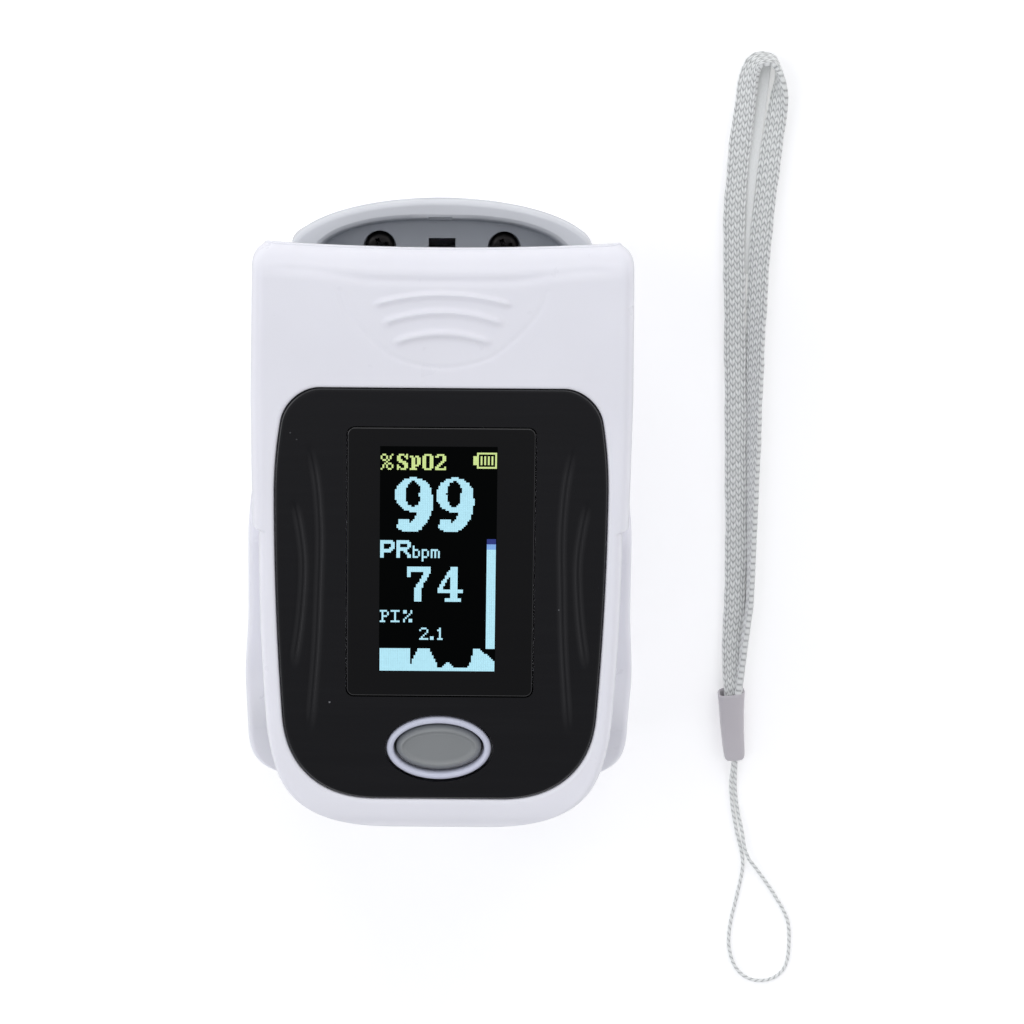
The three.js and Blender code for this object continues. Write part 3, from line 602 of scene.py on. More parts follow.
def glow(name, colour, strength=1.0):
    n = Nodes(name, (0.01, 0.01, 0.012), 0.2)
    n.set("Emission Color", (*colour, 1))
    n.set("Emission Strength", strength)
    grain = n.ramp(n.noise(4000, 1), (0.3, dim(colour, 0.94)), (0.7, colour))
    n.link(grain, n.shader.inputs["Emission Color"])
    return n.material


MAT = {
    "white_shell": white_shell(),
    "grey_liner": plastic("grey_liner", srgb(212, 214, 219), 0.42, grain=0.5, bump=0.08),
    "tray_grey": tray_grey(),
    "black_gloss": black_gloss("black_gloss", srgb(25, 25, 27), 0.10, dust=True),
    "window": black_gloss("window", srgb(18, 18, 19), 0.06, dust=True),
    # Painted shade: the button collar is the shell's white plastic, given a dimmer, bluer colour for the
    # shade round the button.
    "ring": plastic("ring", srgb(203, 206, 222), 0.3, grain=0.4, bump=0.05),
    "button_grey": plastic("button_grey", srgb(133, 136, 137), 0.36, grain=0.16, bump=0.10, spread=0.03),
    "rubber_pad": rubber(),
    "foam": plastic("foam", srgb(38, 38, 42), 0.9, grain=0.25, bump=0.5, spread=0.15),
    "display_glass": black_gloss("display_glass", srgb(3, 4, 4), 0.05, dust=False, gloss=0.2),
    "board_green": board(),
    "chip_black": plastic("chip_black", srgb(30, 31, 33), 0.55, grain=0.2, bump=0.2, spread=0.08),
    "amber_film": film(),
    "steel": steel(),
    "black_steel": steel("black_steel", (0.035, 0.033, 0.032), 0.36),
    "clear_resin": plastic("clear_resin", srgb(214, 220, 224), 0.12, grain=0.6, bump=0.04, coat=0.6),
    "cell_jacket": jacket(),
    "ferrule": plastic("ferrule", srgb(197, 193, 197), 0.36, grain=0.35, bump=0.10, spread=0.03),
    "cord": yarn("cord", srgb(240, 242, 240), srgb(160, 162, 161)),
    "string": yarn("string", srgb(236, 238, 236), srgb(150, 152, 151)),
}


# ---- Lanyard: the cords ----
# Chosen by hand, then moved by a scratch program when the camera was corrected, so the points
# differ from part.mjs's route. The tape's route and the ferrule's ends were moved the same way.
STRAP_ROUTE = [
    (30.23, -24.68, 1.05), (30.23, -23.28, 1.0), (30.13, -21.38, 0.75), (30.08, -18.78, 0.55),
    (30.25, -15.69, 0.45), (30.27, -13.89, 0.42), (30.26, -8.89, 0.42), (30.13, -4.29, 0.42),
    (29.94, 1.61, 0.42), (29.81, 6.71, 0.42), (29.60, 11.91, 0.42), (29.46, 17.01, 0.42),
    (29.25, 22.01, 0.42), (29.21, 26.41, 0.42), (29.53, 32.11, 0.45), (29.98, 36.91, 0.6),
    (30.22, 39.32, 0.9), (30.74, 40.77, 1.2), (31.62, 41.22, 1.35), (32.66, 40.95, 1.25),
    (33.22, 39.62, 0.95), (33.26, 37.32, 0.72), (32.68, 32.22, 0.52), (32.14, 26.42, 0.5),
    (31.82, 22.09, 0.6), (31.66, 16.99, 0.7), (31.58, 11.89, 0.8), (31.58, 6.79, 0.9),
    (31.63, 1.59, 1.0), (31.66, -4.20, 1.05), (31.73, -8.80, 1.1), (31.74, -13.90, 1.1),
    (31.55, -16.20, 1.1), (31.29, -18.80, 1.1), (31.08, -21.29, 1.05), (30.88, -23.29, 1.0),
    (30.78, -24.69, 1.0),
]
# Turn of the strap about its own line, in degrees from lying flat, at shares of its length.
STRAP_TURN = [
    (0, 4), (0.42, 6), (0.465, 30), (0.49, 52), (0.51, 80), (0.535, 130), (0.56, 158), (0.62, 160),
    (0.72, 140), (0.82, 118), (0.9, 97), (1, 90)
]
STRAP_WIDTH = [(0, 0.72), (0.03, 0.88), (0.08, 1.0), (0.92, 1.0), (0.97, 0.9), (1, 0.7)]
STRAP_HALF, STRAP_RISE = 1.08, 0.31
STITCH_PITCH, STITCH_DEPTH, STITCH_COLUMNS = 0.68, 0.11, 8

STRING_ROUTE = [
    (30.58, -30.49, 0.95), (30.54, -31.99, 0.7), (30.43, -33.99, 0.3), (30.67, -36.49, 0.25),
    (31.15, -38.99, 0.25), (31.65, -41.00, 0.25), (31.89, -42.40, 0.25), (31.80, -43.80, 0.25),
    (31.34, -46.30, 0.25), (30.79, -49.09, 0.25), (30.68, -51.59, 0.25), (31.34, -53.80, 0.25),
    (32.54, -55.07, 0.25), (34.13, -55.47, 0.25), (35.64, -55.00, 0.25), (36.65, -53.74, 0.25),
    (36.94, -51.54, 0.25), (36.69, -48.74, 0.25), (35.34, -46.13, 0.25), (33.65, -43.61, 0.3),
    (32.54, -42.10, 0.5), (32.04, -40.90, 0.62), (31.70, -39.00, 0.5), (31.26, -37.00, 0.3),
    (30.91, -34.69, 0.25), (30.84, -32.29, 0.65), (30.86, -30.49, 0.95),
]
STRING_RADIUS = 0.2


def store(obj, name, values):
    """Keeps one number for each vertex, for the material to read."""
    layer = obj.data.attributes.new(name, "FLOAT", "POINT")
    layer.data.foreach_set("value", np.asarray(values, np.float32).ravel())


def stitches(across, along):
    """Height from 0 to 1 of slanted stitches in columns that lean left and right in turn."""
    column = (across + 1) / 2 * STITCH_COLUMNS
    index = np.floor(column)
    inside = column - index - 0.5
    lean = np.where(index % 2 == 0, 1.0, -1.0)
    phase = along / STITCH_PITCH + lean * inside * 0.62 + 0.5 * (np.floor(index / 2) % 2)
    wave = phase - np.floor(phase)
    lobe = np.sin(PI * wave) ** 0.8
    uneven = 0.88 + 0.12 * np.sin(index * 12.9 + np.floor(phase) * 78.2)
    return lobe * uneven * np.cos(PI * inside) ** 0.55


def lanyard_strap():
    centres, travel = curve_through(STRAP_ROUTE, 0.1)
    share = travel / travel[-1]
    turn = np.radians(np.interp(share, *zip(*STRAP_TURN)))
    width = np.interp(share, *zip(*STRAP_WIDTH))
    kernel = np.hanning(61)
    kernel /= kernel.sum()
    turn = np.convolve(np.pad(turn, 30, mode="edge"), kernel, "valid")
    lift = (
        STRAP_HALF * width * np.abs(np.sin(turn)) + (STRAP_RISE * (2 - width) + 0.07) * np.abs(np.cos(turn))
        + 0.02
    )
    centres[:, 2] = np.maximum(centres[:, 2], lift)
    tangent = unit(np.gradient(centres, axis=0))
    lateral = unit(np.cross(tangent, np.array([0.0, 0.0, 1.0])))
    up = np.cross(lateral, tangent)
    reach = np.cos(turn)[:, None] * lateral + np.sin(turn)[:, None] * up
    out = np.cross(reach, tangent)
    flat = np.linspace(-0.94, 0.94, 32)
    bend = np.radians([-72, -54, -36, -18, 0, 18, 36, 54, 72])
    cx = np.concatenate([flat[::-1], -0.94 - 0.06 * np.cos(bend), flat, 0.94 + 0.06 * np.cos(bend)])
    cz = np.concatenate([np.ones(32), -np.sin(bend), -np.ones(32), np.sin(bend)])
    cz = cz * (1 - 0.22 * cx**4)
    sides = len(cx)
    across = np.broadcast_to(cx, (len(share), sides))
    flip = np.where(cz >= 0, 1.0, -1.0)
    height = stitches(across * 0.999, travel[:, None] + 0.2 * flip * across)
    edge = smooth((1 - np.abs(cx)) / 0.06)
    side_lobes = 0.75 * np.abs(np.sin(PI * travel / STITCH_PITCH)) ** 0.8
    height = height * edge + side_lobes[:, None] * (1 - edge)
    ripple = 1 + 0.03 * np.sin(travel * 0.9) + 0.02 * np.sin(travel * 2.3 + 1)
    half = (STRAP_HALF * width * ripple)[:, None]
    rise = (STRAP_RISE * (2 - width))[:, None] + (height - 0.5) * STITCH_DEPTH
    points = (
        centres[:, None]
        + reach[:, None] * (half * cx)[:, :, None]
        + out[:, None] * (rise * cz)[:, :, None]
    )
    strap = loft("lanyard_strap_braid", points)
    # The stitch heights also set the yarn's painted shade in the hollows.
    place_heights(strap, points, height)
    finish_piece(strap, "lower_jaw", MAT["cord"], ["lanyard_strap"], angle=80, weighted=False)


def place_heights(obj, points, height):
    """Stores heights on a loft's vertices, whose order the merging of doubles may have changed."""
    flat = np.asarray(points).reshape(-1, 3) * MM
    co = np.zeros(len(obj.data.vertices) * 3)
    obj.data.vertices.foreach_get("co", co)
    co = co.reshape(-1, 3)
    values = np.broadcast_to(height, np.asarray(points).shape[:2]).ravel()
    if len(co) == len(flat):
        store(obj, "stitch", values)
        return
    order = {tuple(np.round(p * 1e7).astype(int)): v for p, v in zip(flat, values)}
    store(obj, "stitch", [order.get(tuple(np.round(p * 1e7).astype(int)), 0.5) for p in co])


def string_leg(name, route):
    """Two twisted strands along a route, and the line they follow."""
    centres, travel = curve_through(route, 0.07)
    _, across, normal = cross_frames(centres, np.tile(UP, (len(centres), 1)))
    sides = 14
    a = np.linspace(0, 2 * PI, sides, endpoint=False)[None, :]
    twist = 2 * PI * travel[:, None] / 1.3
    lobes = np.abs(np.cos(a - twist))
    radius = STRING_RADIUS * (0.72 + 0.34 * lobes**0.8)
    points = (
        centres[:, None]
        + across[:, None] * (radius * np.cos(a))[:, :, None]
        + normal[:, None] * (radius * np.sin(a))[:, :, None]
    )
    string = loft(name, points)
    # The strand lobes also set the yarn's painted shade where the strands meet.
    place_heights(string, points, lobes**0.7)
    return string, centres, travel[-1]


def lanyard_string():
    """The loop, and the short leg that comes back from where it crosses itself to the ferrule.

    The real string is one cord of 55.2 mm with both ends in the ferrule. As one cord it fails the table
    check, so only the first 43.3 mm are declared, and they end at the crossing, not in the ferrule. Here
    the first 43.3 mm replace the CAD's string and end at the crossing, not in the ferrule; the leg back to
    the ferrule is a piece of its own.
    """
    string, centres, length = string_leg("lanyard_string_twist", STRING_ROUTE[:21])
    finish_piece(string, "lower_jaw", MAT["string"], ["lanyard_string"], angle=80, weighted=False)
    back, _, _ = string_leg("lanyard_string_return", STRING_ROUTE[20:])
    finish_piece(back, "lower_jaw", MAT["string"], angle=80, weighted=False)


def lanyard_ferrule():
    """A soft tapered sleeve, open at the strap's end."""
    start, end = np.array([30.12, -23.57, 1.02]), np.array([30.70, -31.17, 0.9])
    axis = end - start
    along = unit(axis)
    side = unit(np.cross(along, [0.0, 0.0, 1.0]))
    up = np.cross(side, along)
    a = np.linspace(0, 2 * PI, 56, endpoint=False)
    cx, cz = squared(np.cos(a), 0.62), squared(np.sin(a), 0.62)
    wall = 0.24
    stations = [(0.22, -wall), (0.10, -wall), (0.012, -wall), (0.003, -wall * 0.8), (-0.003, -wall * 0.5)]
    stations += [(0.003, -0.05), (0.012, 0.0), (0.05, 0.01), (0.15, 0.0), (0.3, -0.01), (0.45, 0.01)]
    stations += [
        (0.6, 0.0), (0.75, 0.01), (0.88, 0.0), (0.93, -0.02), (0.965, -0.09), (0.988, -0.22), (1.0, -0.45)
    ]
    rings = []
    for share, grow in stations:
        t = min(1.0, max(0.0, share))
        half, rise = 1.4 + (1.06 - 1.4) * t**0.8 + grow, 0.93 + (0.76 - 0.93) * t + grow
        centre = start + axis * share
        centre = centre + side * 0.08 * math.sin(PI * t)
        back = 0.42 * max(0.0, 1 - t / 0.25) * (0.5 + 0.5 * cz) + 0.05 * cx * max(0.0, 1 - t / 0.25)
        rings.append(centre + np.outer(half * cx, side) + np.outer(rise * cz, up) + np.outer(back, along))
    ferrule = loft("lanyard_ferrule_sleeve", rings)
    finish_piece(ferrule, "lower_jaw", MAT["ferrule"], ["lanyard_ferrule"], angle=60)


def strap_core():
    """The smooth tape that shows between the strap's legs below the fold."""
    route = [
        (31.78, 40.57, 0.95), (31.68, 39.02, 0.8), (31.49, 36.92, 0.62), (31.05, 32.02, 0.48),
        (30.76, 27.52, 0.42), (30.62, 23.02, 0.36), (30.61, 19.52, 0.3)
    ]
    centres, travel = curve_through(route, 0.25)
    share = travel / travel[-1]
    _, across, normal = cross_frames(centres, np.tile(UP, (len(centres), 1)))
    half = 0.6 - 0.3 * smooth((share - 0.25) / 0.7)
    a = np.linspace(0, 2 * PI, 24, endpoint=False)
    cx, cz = squared(np.cos(a), 0.6), squared(np.sin(a), 0.6)
    rings = (
        centres[:, None] + across[:, None] * (half[:, None] * cx)[:, :, None]
        + normal[:, None] * (0.13 * cz)[None, :, None]
    )
    tape = loft("lanyard_strap_tape", rings)
    # A fixed stitch value, so the yarn's painted shade dims the tape a little all over.
    store(tape, "stitch", np.full(len(tape.data.vertices), 0.72))
    finish_piece(tape, "lower_jaw", MAT["cord"], angle=60)


lanyard_ferrule()
strap_core()
lanyard_strap()
lanyard_string()


# ---- Upper jaw ----
STEP_Y = 0.25


def cover_half(y):
    front = (
        18.5 - 0.28 * clamp01((13 - y) / 13) - 0.3 * clamp01(y / 27) ** 1.5
        - 1.2 * clamp01((y - 25.2) / 2.3) ** 3
    )
    taper = 0.0022 * (y + 1.3) ** 2 + 0.022 * np.maximum(0, -18.5 - y) ** 2
    rear = (COVER_HALF_REAR + 0.2 - taper) * round_end((-21.7 - y) / 7.6, 3.5)
    step = smooth((y - STEP_Y) / 0.35)
    return rear * (1 - step) + front * step


def cover_top(y):
    brow = BROW * smooth((y - 8) / 14)
    tail = 2.6 * (1 - round_end((-25.8 - y) / 3.5, 2))
    visor = 3.4 * (1 - round_end((y - 24.6) / 2.9, 2))
    return FACE + brow - tail - visor


CROWN = 0.12


def face_height(x, y):
    return cover_top(y) - CROWN * (x / COVER_HALF) ** 2


SHIELD = [
    (-9.6, 23.8), (-8.8, 21.5), (-6.4, 18.8), (-3.9, 17.05), (0, 16.3), (3.9, 17.05), (6.4, 18.8),
    (8.8, 21.5), (9.6, 23.8)
]
RIBS = [(22.45, 23.5, 6.3), (20.6, 21.65, 5.45), (18.75, 19.6, 4.4)]


def grip_relief(x, y):
    """Raised ribs inside a faint engraved shield, and the soft groove behind the visor."""
    shield, _ = line_distance(x, y, curve_through([(*p, 0) for p in SHIELD], 0.4)[0][:, :2])
    relief = -0.07 * np.exp(-((shield / 0.2) ** 2))
    for low, high, half in RIBS:
        middle = high + (low - high) * (x / half) ** 2
        taper = smooth((half + 0.3 - np.abs(x)) / 0.9)
        gap = (y - middle) / 0.34
        relief = relief + 0.36 * taper * np.exp(-np.abs(gap) ** 2.2)
    line = 24.9 + 0.7 * smooth((np.abs(x) - 6) / 7)
    depth = 0.12 + 0.18 * smooth((11 - np.abs(x)) / 5)
    return relief - depth * np.exp(-(((y - line) / 0.42) ** 2)) * smooth((16.5 - np.abs(x)) / 2.5)


def half_arch(side_at, top, foot, shoulder, edge, inward, tops):
    """Points from the foot of a wall to the middle of its roof. Edge rounds the foot."""
    wide, tall = shoulder
    a = np.linspace(-PI / 2, 0, 5)
    turn = -1 if inward else 1
    foot_z = foot + edge + edge * np.sin(a)
    foot_arc = np.column_stack([side_at(foot_z) + turn * edge * (np.cos(a) - 1), foot_z])
    z = np.linspace(foot + edge, top - tall, 16)[1:-1]
    wall = np.column_stack([side_at(z), z])
    b = np.linspace(0, PI / 2, 12)
    flat = float(side_at(np.array([top - tall]))[0]) - wide
    rounded = np.column_stack([flat + wide * np.cos(b), top - tall + tall * np.sin(b)])
    roof_x = flat * (1 - np.linspace(0, 1, tops + 1)[1:])
    roof = np.column_stack([roof_x, np.full(tops, top)])
    return np.vstack([foot_arc, wall, rounded, roof])


def mirrored(right):
    left = right * [-1, 1]
    return np.vstack([left, right[:-1][::-1]])


def inset_ring(points, distance):
    """A closed clockwise outline moved inwards by distance."""
    ahead, behind = np.roll(points, -1, axis=0), np.roll(points, 1, axis=0)
    along = unit(ahead - behind)
    return points + distance * np.column_stack([along[:, 1], -along[:, 0]])


def top_cover():
    tail = -21.7 - 7.6 * end_steps(3.5, 26)[1:]
    tail = tail[cover_half(tail) > 0.15]
    stations = np.unique(
        np.concatenate([
            tail, np.linspace(-21.7, -0.3, 23), STEP_Y + np.linspace(-0.05, 0.4, 8), np.linspace(1, 15.4, 17),
            np.linspace(15.6, 24.4, 58), 24.6 + 2.9 * np.sin(np.linspace(0, 1.36, 24)),
        ]).round(5)
    )
    tops = 78
    foot_line = (
        [-29.3, -28, -15, -7, STEP_Y, 30],
        [TAIL_UNDER + 0.35, TAIL_UNDER, HINGE_UNDER, HINGE_UNDER, SKIRT, SKIRT]
    )
    rings = []

    def ring_at(y, inset=0.0, forward=0.0):
        half, top, foot = float(cover_half(y)), float(cover_top(y)), float(np.interp(y, *foot_line))
        step = float(smooth((y - STEP_Y) / 0.35))
        scale = min(1.0, half / 8)
        tall = min(1.5 + 0.7 * step, 0.42 * (top - foot))
        wide = min(0.85 + 0.3 * step, 0.5 * half)

        def side_at(z):
            flare = 0.5 * clamp01((z - 14) / 14)
            undercut = 0.28 * (1 - smooth((z - 23.2) / 0.8))
            return half - scale * (flare * step + undercut * (1 - step))

        wall = min(1.6, 0.4 * half)
        top_in = min(top, FACE) - 2.5 if y > -27.6 else foot + 1.1
        inner_side = lambda z: np.maximum(side_at(z) - wall, 0.5 * half)
        shoulder_in = (min(1.0, 0.3 * half), min(1.2, 0.42 * (top_in - foot)))
        edge = min(0.45, wall / 2.2)
        outer = mirrored(half_arch(side_at, top, foot, (wide, tall), edge, False, tops))
        inner = mirrored(half_arch(inner_side, top_in, foot, shoulder_in, edge, True, tops))[::-1]
        radius = tall
        outline = np.vstack([outer, inner])
        if inset:
            outline = inset_ring(outline, inset)
        x, z = outline[:, 0], outline[:, 1]
        count = len(outer)
        on_roof = (np.arange(len(outline)) < count) & (z > top - radius)
        z = z - np.where(on_roof, CROWN * (x / COVER_HALF) ** 2, 0)
        if y > 15.5 and not forward:
            z = z + np.where(on_roof, grip_relief(x, np.full_like(x, y)), 0)
        shear = 0.2 * np.minimum(0, z - 28.3) * float(smooth((y - 15) / 12.5))
        bow = -0.5 * (1 - clamp01(np.abs(x) / 16.5) ** 2) * float(smooth((y - 20.5) / 6))
        return np.column_stack([x, y + forward + shear + bow, z]), count

    for y in stations:
        points, count = ring_at(y)
        rings.append(points)
    rounding = 0.16
    for angle in np.radians([20, 40, 60, 78, 90]):
        points, count = ring_at(
            stations[-1], rounding * (1 - math.cos(angle)), rounding * (math.sin(angle) - 1)
        )
        rings.append(points + [0, rounding, 0])
    rings = np.asarray(rings)
    size = rings.shape[1]
    faces = quads(len(rings), size)
    last = (len(rings) - 1) * size
    for i in range(count - 1):
        j = size - 1 - i
        faces.append([last + i, last + i + 1, last + j - 1, last + j])
        faces.append([j, j - 1, i + 1, i])
    cover = new_object("top_cover_shell", rings.reshape(-1, 3), faces)

    recess = []
    for angle in np.linspace(0, PI / 2 * 0.92, 7):
        grow = 0.04 + 0.35 * (1 - math.cos(angle))
        loop = panel_outline(grow)
        z = face_height(loop[:, 0], loop[:, 1]) - 0.35 + 0.35 * math.sin(angle)
        recess.append(np.column_stack([loop, z]))
    floor = np.column_stack([recess[0][:, :2], np.full(len(recess[0]), PANEL_FLOOR)])
    lid = recess[-1] + [0, 0, 3]
    cutter = loft("cutter", [floor, *recess, lid])
    screen = prism(rounded_rectangle(15.5, 24, 0.8, WINDOW_CENTRE), 20, 40)
    key = prism(oval(0.2), 20, 40)
    carve(cover, cutter, screen, key)
    lugs = [front_disc(3.6, side, 15.4, 16.55) for side in (-1, 1)]
    straps = [box(*span(side, 15.4, 16.4), -13.5, -9.1, 18, 21) for side in (-1, 1)]
    for x, y, *_ in LINER_SCREWS:
        lugs += [post(1.6, s * x, y, LINER_TOP + 0.3 if y > 0 else 22.9, FACE - 2.3) for s in (-1, 1)]
    join(cover, *lugs, *straps)
    carve(cover, across_bar(1.0, -20, 20))
    finish_piece(cover, "upper_jaw", MAT["white_shell"], ["top_cover"], angle=42)


def span(side, near, far):
    return (near, far) if side > 0 else (-far, -near)


def across_bar(radius, x0, x1, y=HINGE_Y, z=HINGE_Z, count=48, name="cutter"):
    return side_extrude(circle(radius, y, z, count), x0, x1, name)


def front_disc(radius, side, near, far):
    return across_bar(radius, *span(side, near, far))


def panel_half(y, grow=0.0):
    bulge = np.where(y > 4, 0.012, 0.0016)
    edge = PANEL_HALF - bulge * (y - 4) ** 2
    front = 3 * (1 - round_end((y - (PANEL_FRONT + grow - 3.25)) / 3.25, 2))
    rear = 8.5 * (1 - round_end((PANEL_REAR - grow + 8.47 - y) / 8.47, 2.4))
    return np.maximum(0, edge - front - rear + grow)


def panel_outline(grow):
    """The panel's outline as a loop, its right side first, from the rear."""
    rear = PANEL_REAR - grow + 8.47
    front = PANEL_FRONT + grow - 3.25
    y = np.concatenate([
        rear - 8.47 * end_steps(2.4, 46)[::-1],
        np.linspace(rear, front, 70)[1:-1],
        front + 3.25 * end_steps(2, 26),
    ])
    half = panel_half(y, grow)
    right = np.column_stack([half, y])
    across = np.linspace(1, -1, 40)[1:-1]
    front_edge = np.column_stack([half[-1] * across, np.full(len(across), y[-1])])
    rear_edge = np.column_stack([-half[0] * across, np.full(len(across), y[0])])
    return np.vstack([right, front_edge, (right * [-1, 1])[::-1], rear_edge])


def rounded_rectangle(width, length, radius, centre_y, centre_x=0.0, steps=10):
    loop = []
    for sx, sy, start in ((1, 1, 0), (-1, 1, 90), (-1, -1, 180), (1, -1, 270)):
        a = np.radians(np.linspace(start, start + 90, steps))
        x = centre_x + sx * (width / 2 - radius) + radius * np.cos(a)
        y = centre_y + sy * (length / 2 - radius) + radius * np.sin(a)
        loop.append(np.column_stack([x, y]))
    return np.vstack(loop)


def oval(grow, scale=1.0, count=96):
    a = np.linspace(0, 2 * PI, count, endpoint=False)
    return np.column_stack([
        scale * (BUTTON_HALF[0] + grow) * np.cos(a),
        BUTTON_Y + scale * (BUTTON_HALF[1] + grow) * np.sin(a),
    ])


def at_height(loop, z):
    return np.column_stack([loop, np.broadcast_to(z, len(loop))])


LONG_GROOVE = [
    (12.4, 9.15), (11.75, 5.6), (11.45, 2.4), (11.35, -0.6), (11.45, -4.5), (11.7, -11), (12.35, -19.6)
]
SHORT_GROOVE = [(13.8, 3.6), (13.2, 0.4), (12.9, -3.0), (13.2, -8.0), (13.9, -13.0)]


def panel_relief(x, y):
    """Engraved crescents down both sides."""
    relief = np.zeros_like(x)
    for line in (LONG_GROOVE, SHORT_GROOVE):
        fine = curve_through([(*p, 0) for p in line], 0.5)[0][:, :2]
        gap, share = line_distance(np.abs(x), y, fine)
        taper = smooth(share / 0.12) * smooth((1 - share) / 0.12)
        relief -= 0.095 * taper * np.exp(-((gap / 0.26) ** 2))
    return relief


def face_panel():
    rim = 0.15
    rings = [
        at_height(panel_outline(-0.07), PANEL_FLOOR + 0.1), at_height(panel_outline(-0.05), PANEL_TOP - rim)
    ]
    for angle in np.radians([15, 30, 45, 60, 75, 90]):
        loop = panel_outline(-0.05 - rim * (1 - math.cos(angle)))
        rings.append(at_height(loop, PANEL_TOP - rim + rim * math.sin(angle)))
    for inset in np.arange(rim + 0.25, 5.4, 0.17):
        loop = panel_outline(-inset)
        rings.append(at_height(loop, PANEL_TOP + panel_relief(loop[:, 0], loop[:, 1])))
    panel = loft("face_panel_gloss", rings)
    carve(
        panel,
        prism(rounded_rectangle(WINDOW_X + 0.28, WINDOW_Y + 0.35, 0.8, WINDOW_CENTRE), 20, 40),
        prism(oval(1.12), 20, 40),
    )
    finish_piece(panel, "upper_jaw", MAT["black_gloss"], ["face_panel"])


def plate(name, outline, z0, z1, rim):
    """An upright plate from an outline made by how far it grows, with a rounded upper rim."""
    rings = [at_height(outline(0), z0), at_height(outline(0), z1 - rim)]
    for angle in np.radians([22, 45, 67, 90]):
        rings.append(at_height(outline(-rim * (1 - math.cos(angle))), z1 - rim + rim * math.sin(angle)))
    return loft(name, rings)


def display_window():
    grow_to = lambda g: rounded_rectangle(
        WINDOW_X + 0.1 + 2 * g, WINDOW_Y + 0.17 + 2 * g, max(0.2, 0.7 + g), WINDOW_CENTRE
    )
    window = plate("display_window_frame", grow_to, PANEL_FLOOR + 0.1, PANEL_TOP, 0.14)
    opening = rounded_rectangle(LIT_X + 0.12, LIT_Y + 0.12, 0.04, LIT_CENTRE[1], LIT_CENTRE[0], steps=3)
    carve(window, prism(opening, 20, 40))
    finish_piece(window, "upper_jaw", MAT["window"], ["display_window"])
    glass_loop = lambda g: rounded_rectangle(
        LIT_X + 0.1 + 2 * g, LIT_Y + 0.1 + 2 * g, max(0.02, 0.04 + g), LIT_CENTRE[1], LIT_CENTRE[0], steps=3
    )
    glass = plate("oled_glass", glass_loop, 28.4, PANEL_TOP - 0.015, 0.02)
    join(glass, slab(9.63, WINDOW_CENTRE - 13.35, WINDOW_CENTRE + 13.35, 26.9, 28.3 + 0.2))
    finish_piece(glass, "upper_jaw", MAT["display_glass"], ["oled_display"])


def power_button():
    ring = []
    for grow, z in (
        (0.26, 29.9), (0.26, 30.9), (0.28, 31.08), (0.35, 31.2), (0.46, 31.27), (0.58, 31.3), (0.7, 31.25),
        (0.81, 31.14), (0.89, 30.98), (0.93, 30.8), (0.93, 29.9),
    ):
        ring.append(at_height(oval(grow), z))
    collar = loft("button_collar", ring, wrap_rings=True)
    finish_piece(collar, "upper_jaw", MAT["ring"])
    rings = [
        at_height(oval(0.65), 27.75), at_height(oval(0.7), 27.8), at_height(oval(0.7), 28.35),
        at_height(oval(0.65), 28.4)
    ]
    rings += [at_height(oval(0), 28.45), at_height(oval(0), 30.5)]
    for inset, z in (
        (0.02, 30.6), (0.08, 30.7), (0.2, 30.82), (0.32, 30.93), (0.42, 31.01), (0.5, 31.05), (0.56, 31.05),
        (0.63, 31.0), (0.72, 30.92), (0.82, 30.86), (0.95, 30.82),
    ):
        rings.append(at_height(oval(-inset), z))
    for share in (0.95, 0.8, 0.6, 0.4, 0.2, 0.05):
        rings.append(at_height(oval(-0.95, share), 30.82 - 0.06 * (1 - share**2)))
    cap = loft("power_button_cap", rings)
    join(cap, post(1.0, 0, BUTTON_Y, 27.4, 27.9))
    finish_piece(cap, "power_button", MAT["button_grey"], ["power_button"])


def arch(half, rise, foot, steps=60):
    a = np.linspace(0, PI, steps + 1)
    return np.column_stack([half * np.cos(a), foot + rise * np.sin(a)])


def plan(half_at, stations):
    y = np.asarray(stations, float)
    half = np.maximum(half_at(y), 0.01)
    right = np.column_stack([half, y])
    return np.vstack([right, (right * [-1, 1])[::-1]])


def upper_liner():
    front = [(40, 5), (24.3, 5), (24.3, LINER_UNDER), (26.3, 28), (40, 28)]
    block_half = lambda y: np.where(y < 4.05, 14.4, cover_half(y) - 2.4)
    outline = plan(block_half, [-5, 4, 4.1, 6, 8, 10, 12, 14, 16, 18, 20, 22, 24, 26])
    liner = prism(outline, LINER_UNDER, LINER_TOP, "upper_liner_block")
    channel = front_extrude([(11.9, 10), *arch(11.9, 6.5, LINER_UNDER), (-11.9, 10)], FINGER_REAR, 40)
    carve(liner, channel, side_extrude(front, -30, 30))
    tail = side_extrude(
        [
            (-4, HINGE_UNDER), (-15, HINGE_UNDER), (-28, TAIL_UNDER), (-28, TAIL_UNDER + 1),
            (-15, HINGE_UNDER + 1), (-4, HINGE_UNDER + 1)
        ],
        -20, 20, "tail",
    )
    tail_half = lambda y: np.minimum(14.4, cover_half(y - 1.95) - 2.4)
    carve(
        tail, prism(plan(tail_half, -27.1 + 22.6 * (1 - np.cos(np.linspace(0, PI, 40))) / 2), 10, 30),
        operation="INTERSECT"
    )
    bosses = [post(2.1, s * LINER_SCREWS[1][0], LINER_SCREWS[1][1], 20.2, 22.6) for s in (-1, 1)]
    join(liner, tail, *bosses)
    holes = []
    for (x, y, *_), well in zip(LINER_SCREWS, (18.6, 21.2)):
        for s in (-1, 1):
            holes += [post(0.95, s * x, y, 10, 30), post(1.6, s * x, y, 10, well)]
    carve(liner, *holes, slab(2.9, SENSOR_Y - 2.4, SENSOR_Y + 2.4, 20, 30), slab(2.9, -9.4, -7.2, 15, 30))
    bevel(liner, 0.18, 2)
    finish_piece(liner, "upper_jaw", MAT["grey_liner"], ["upper_liner"])


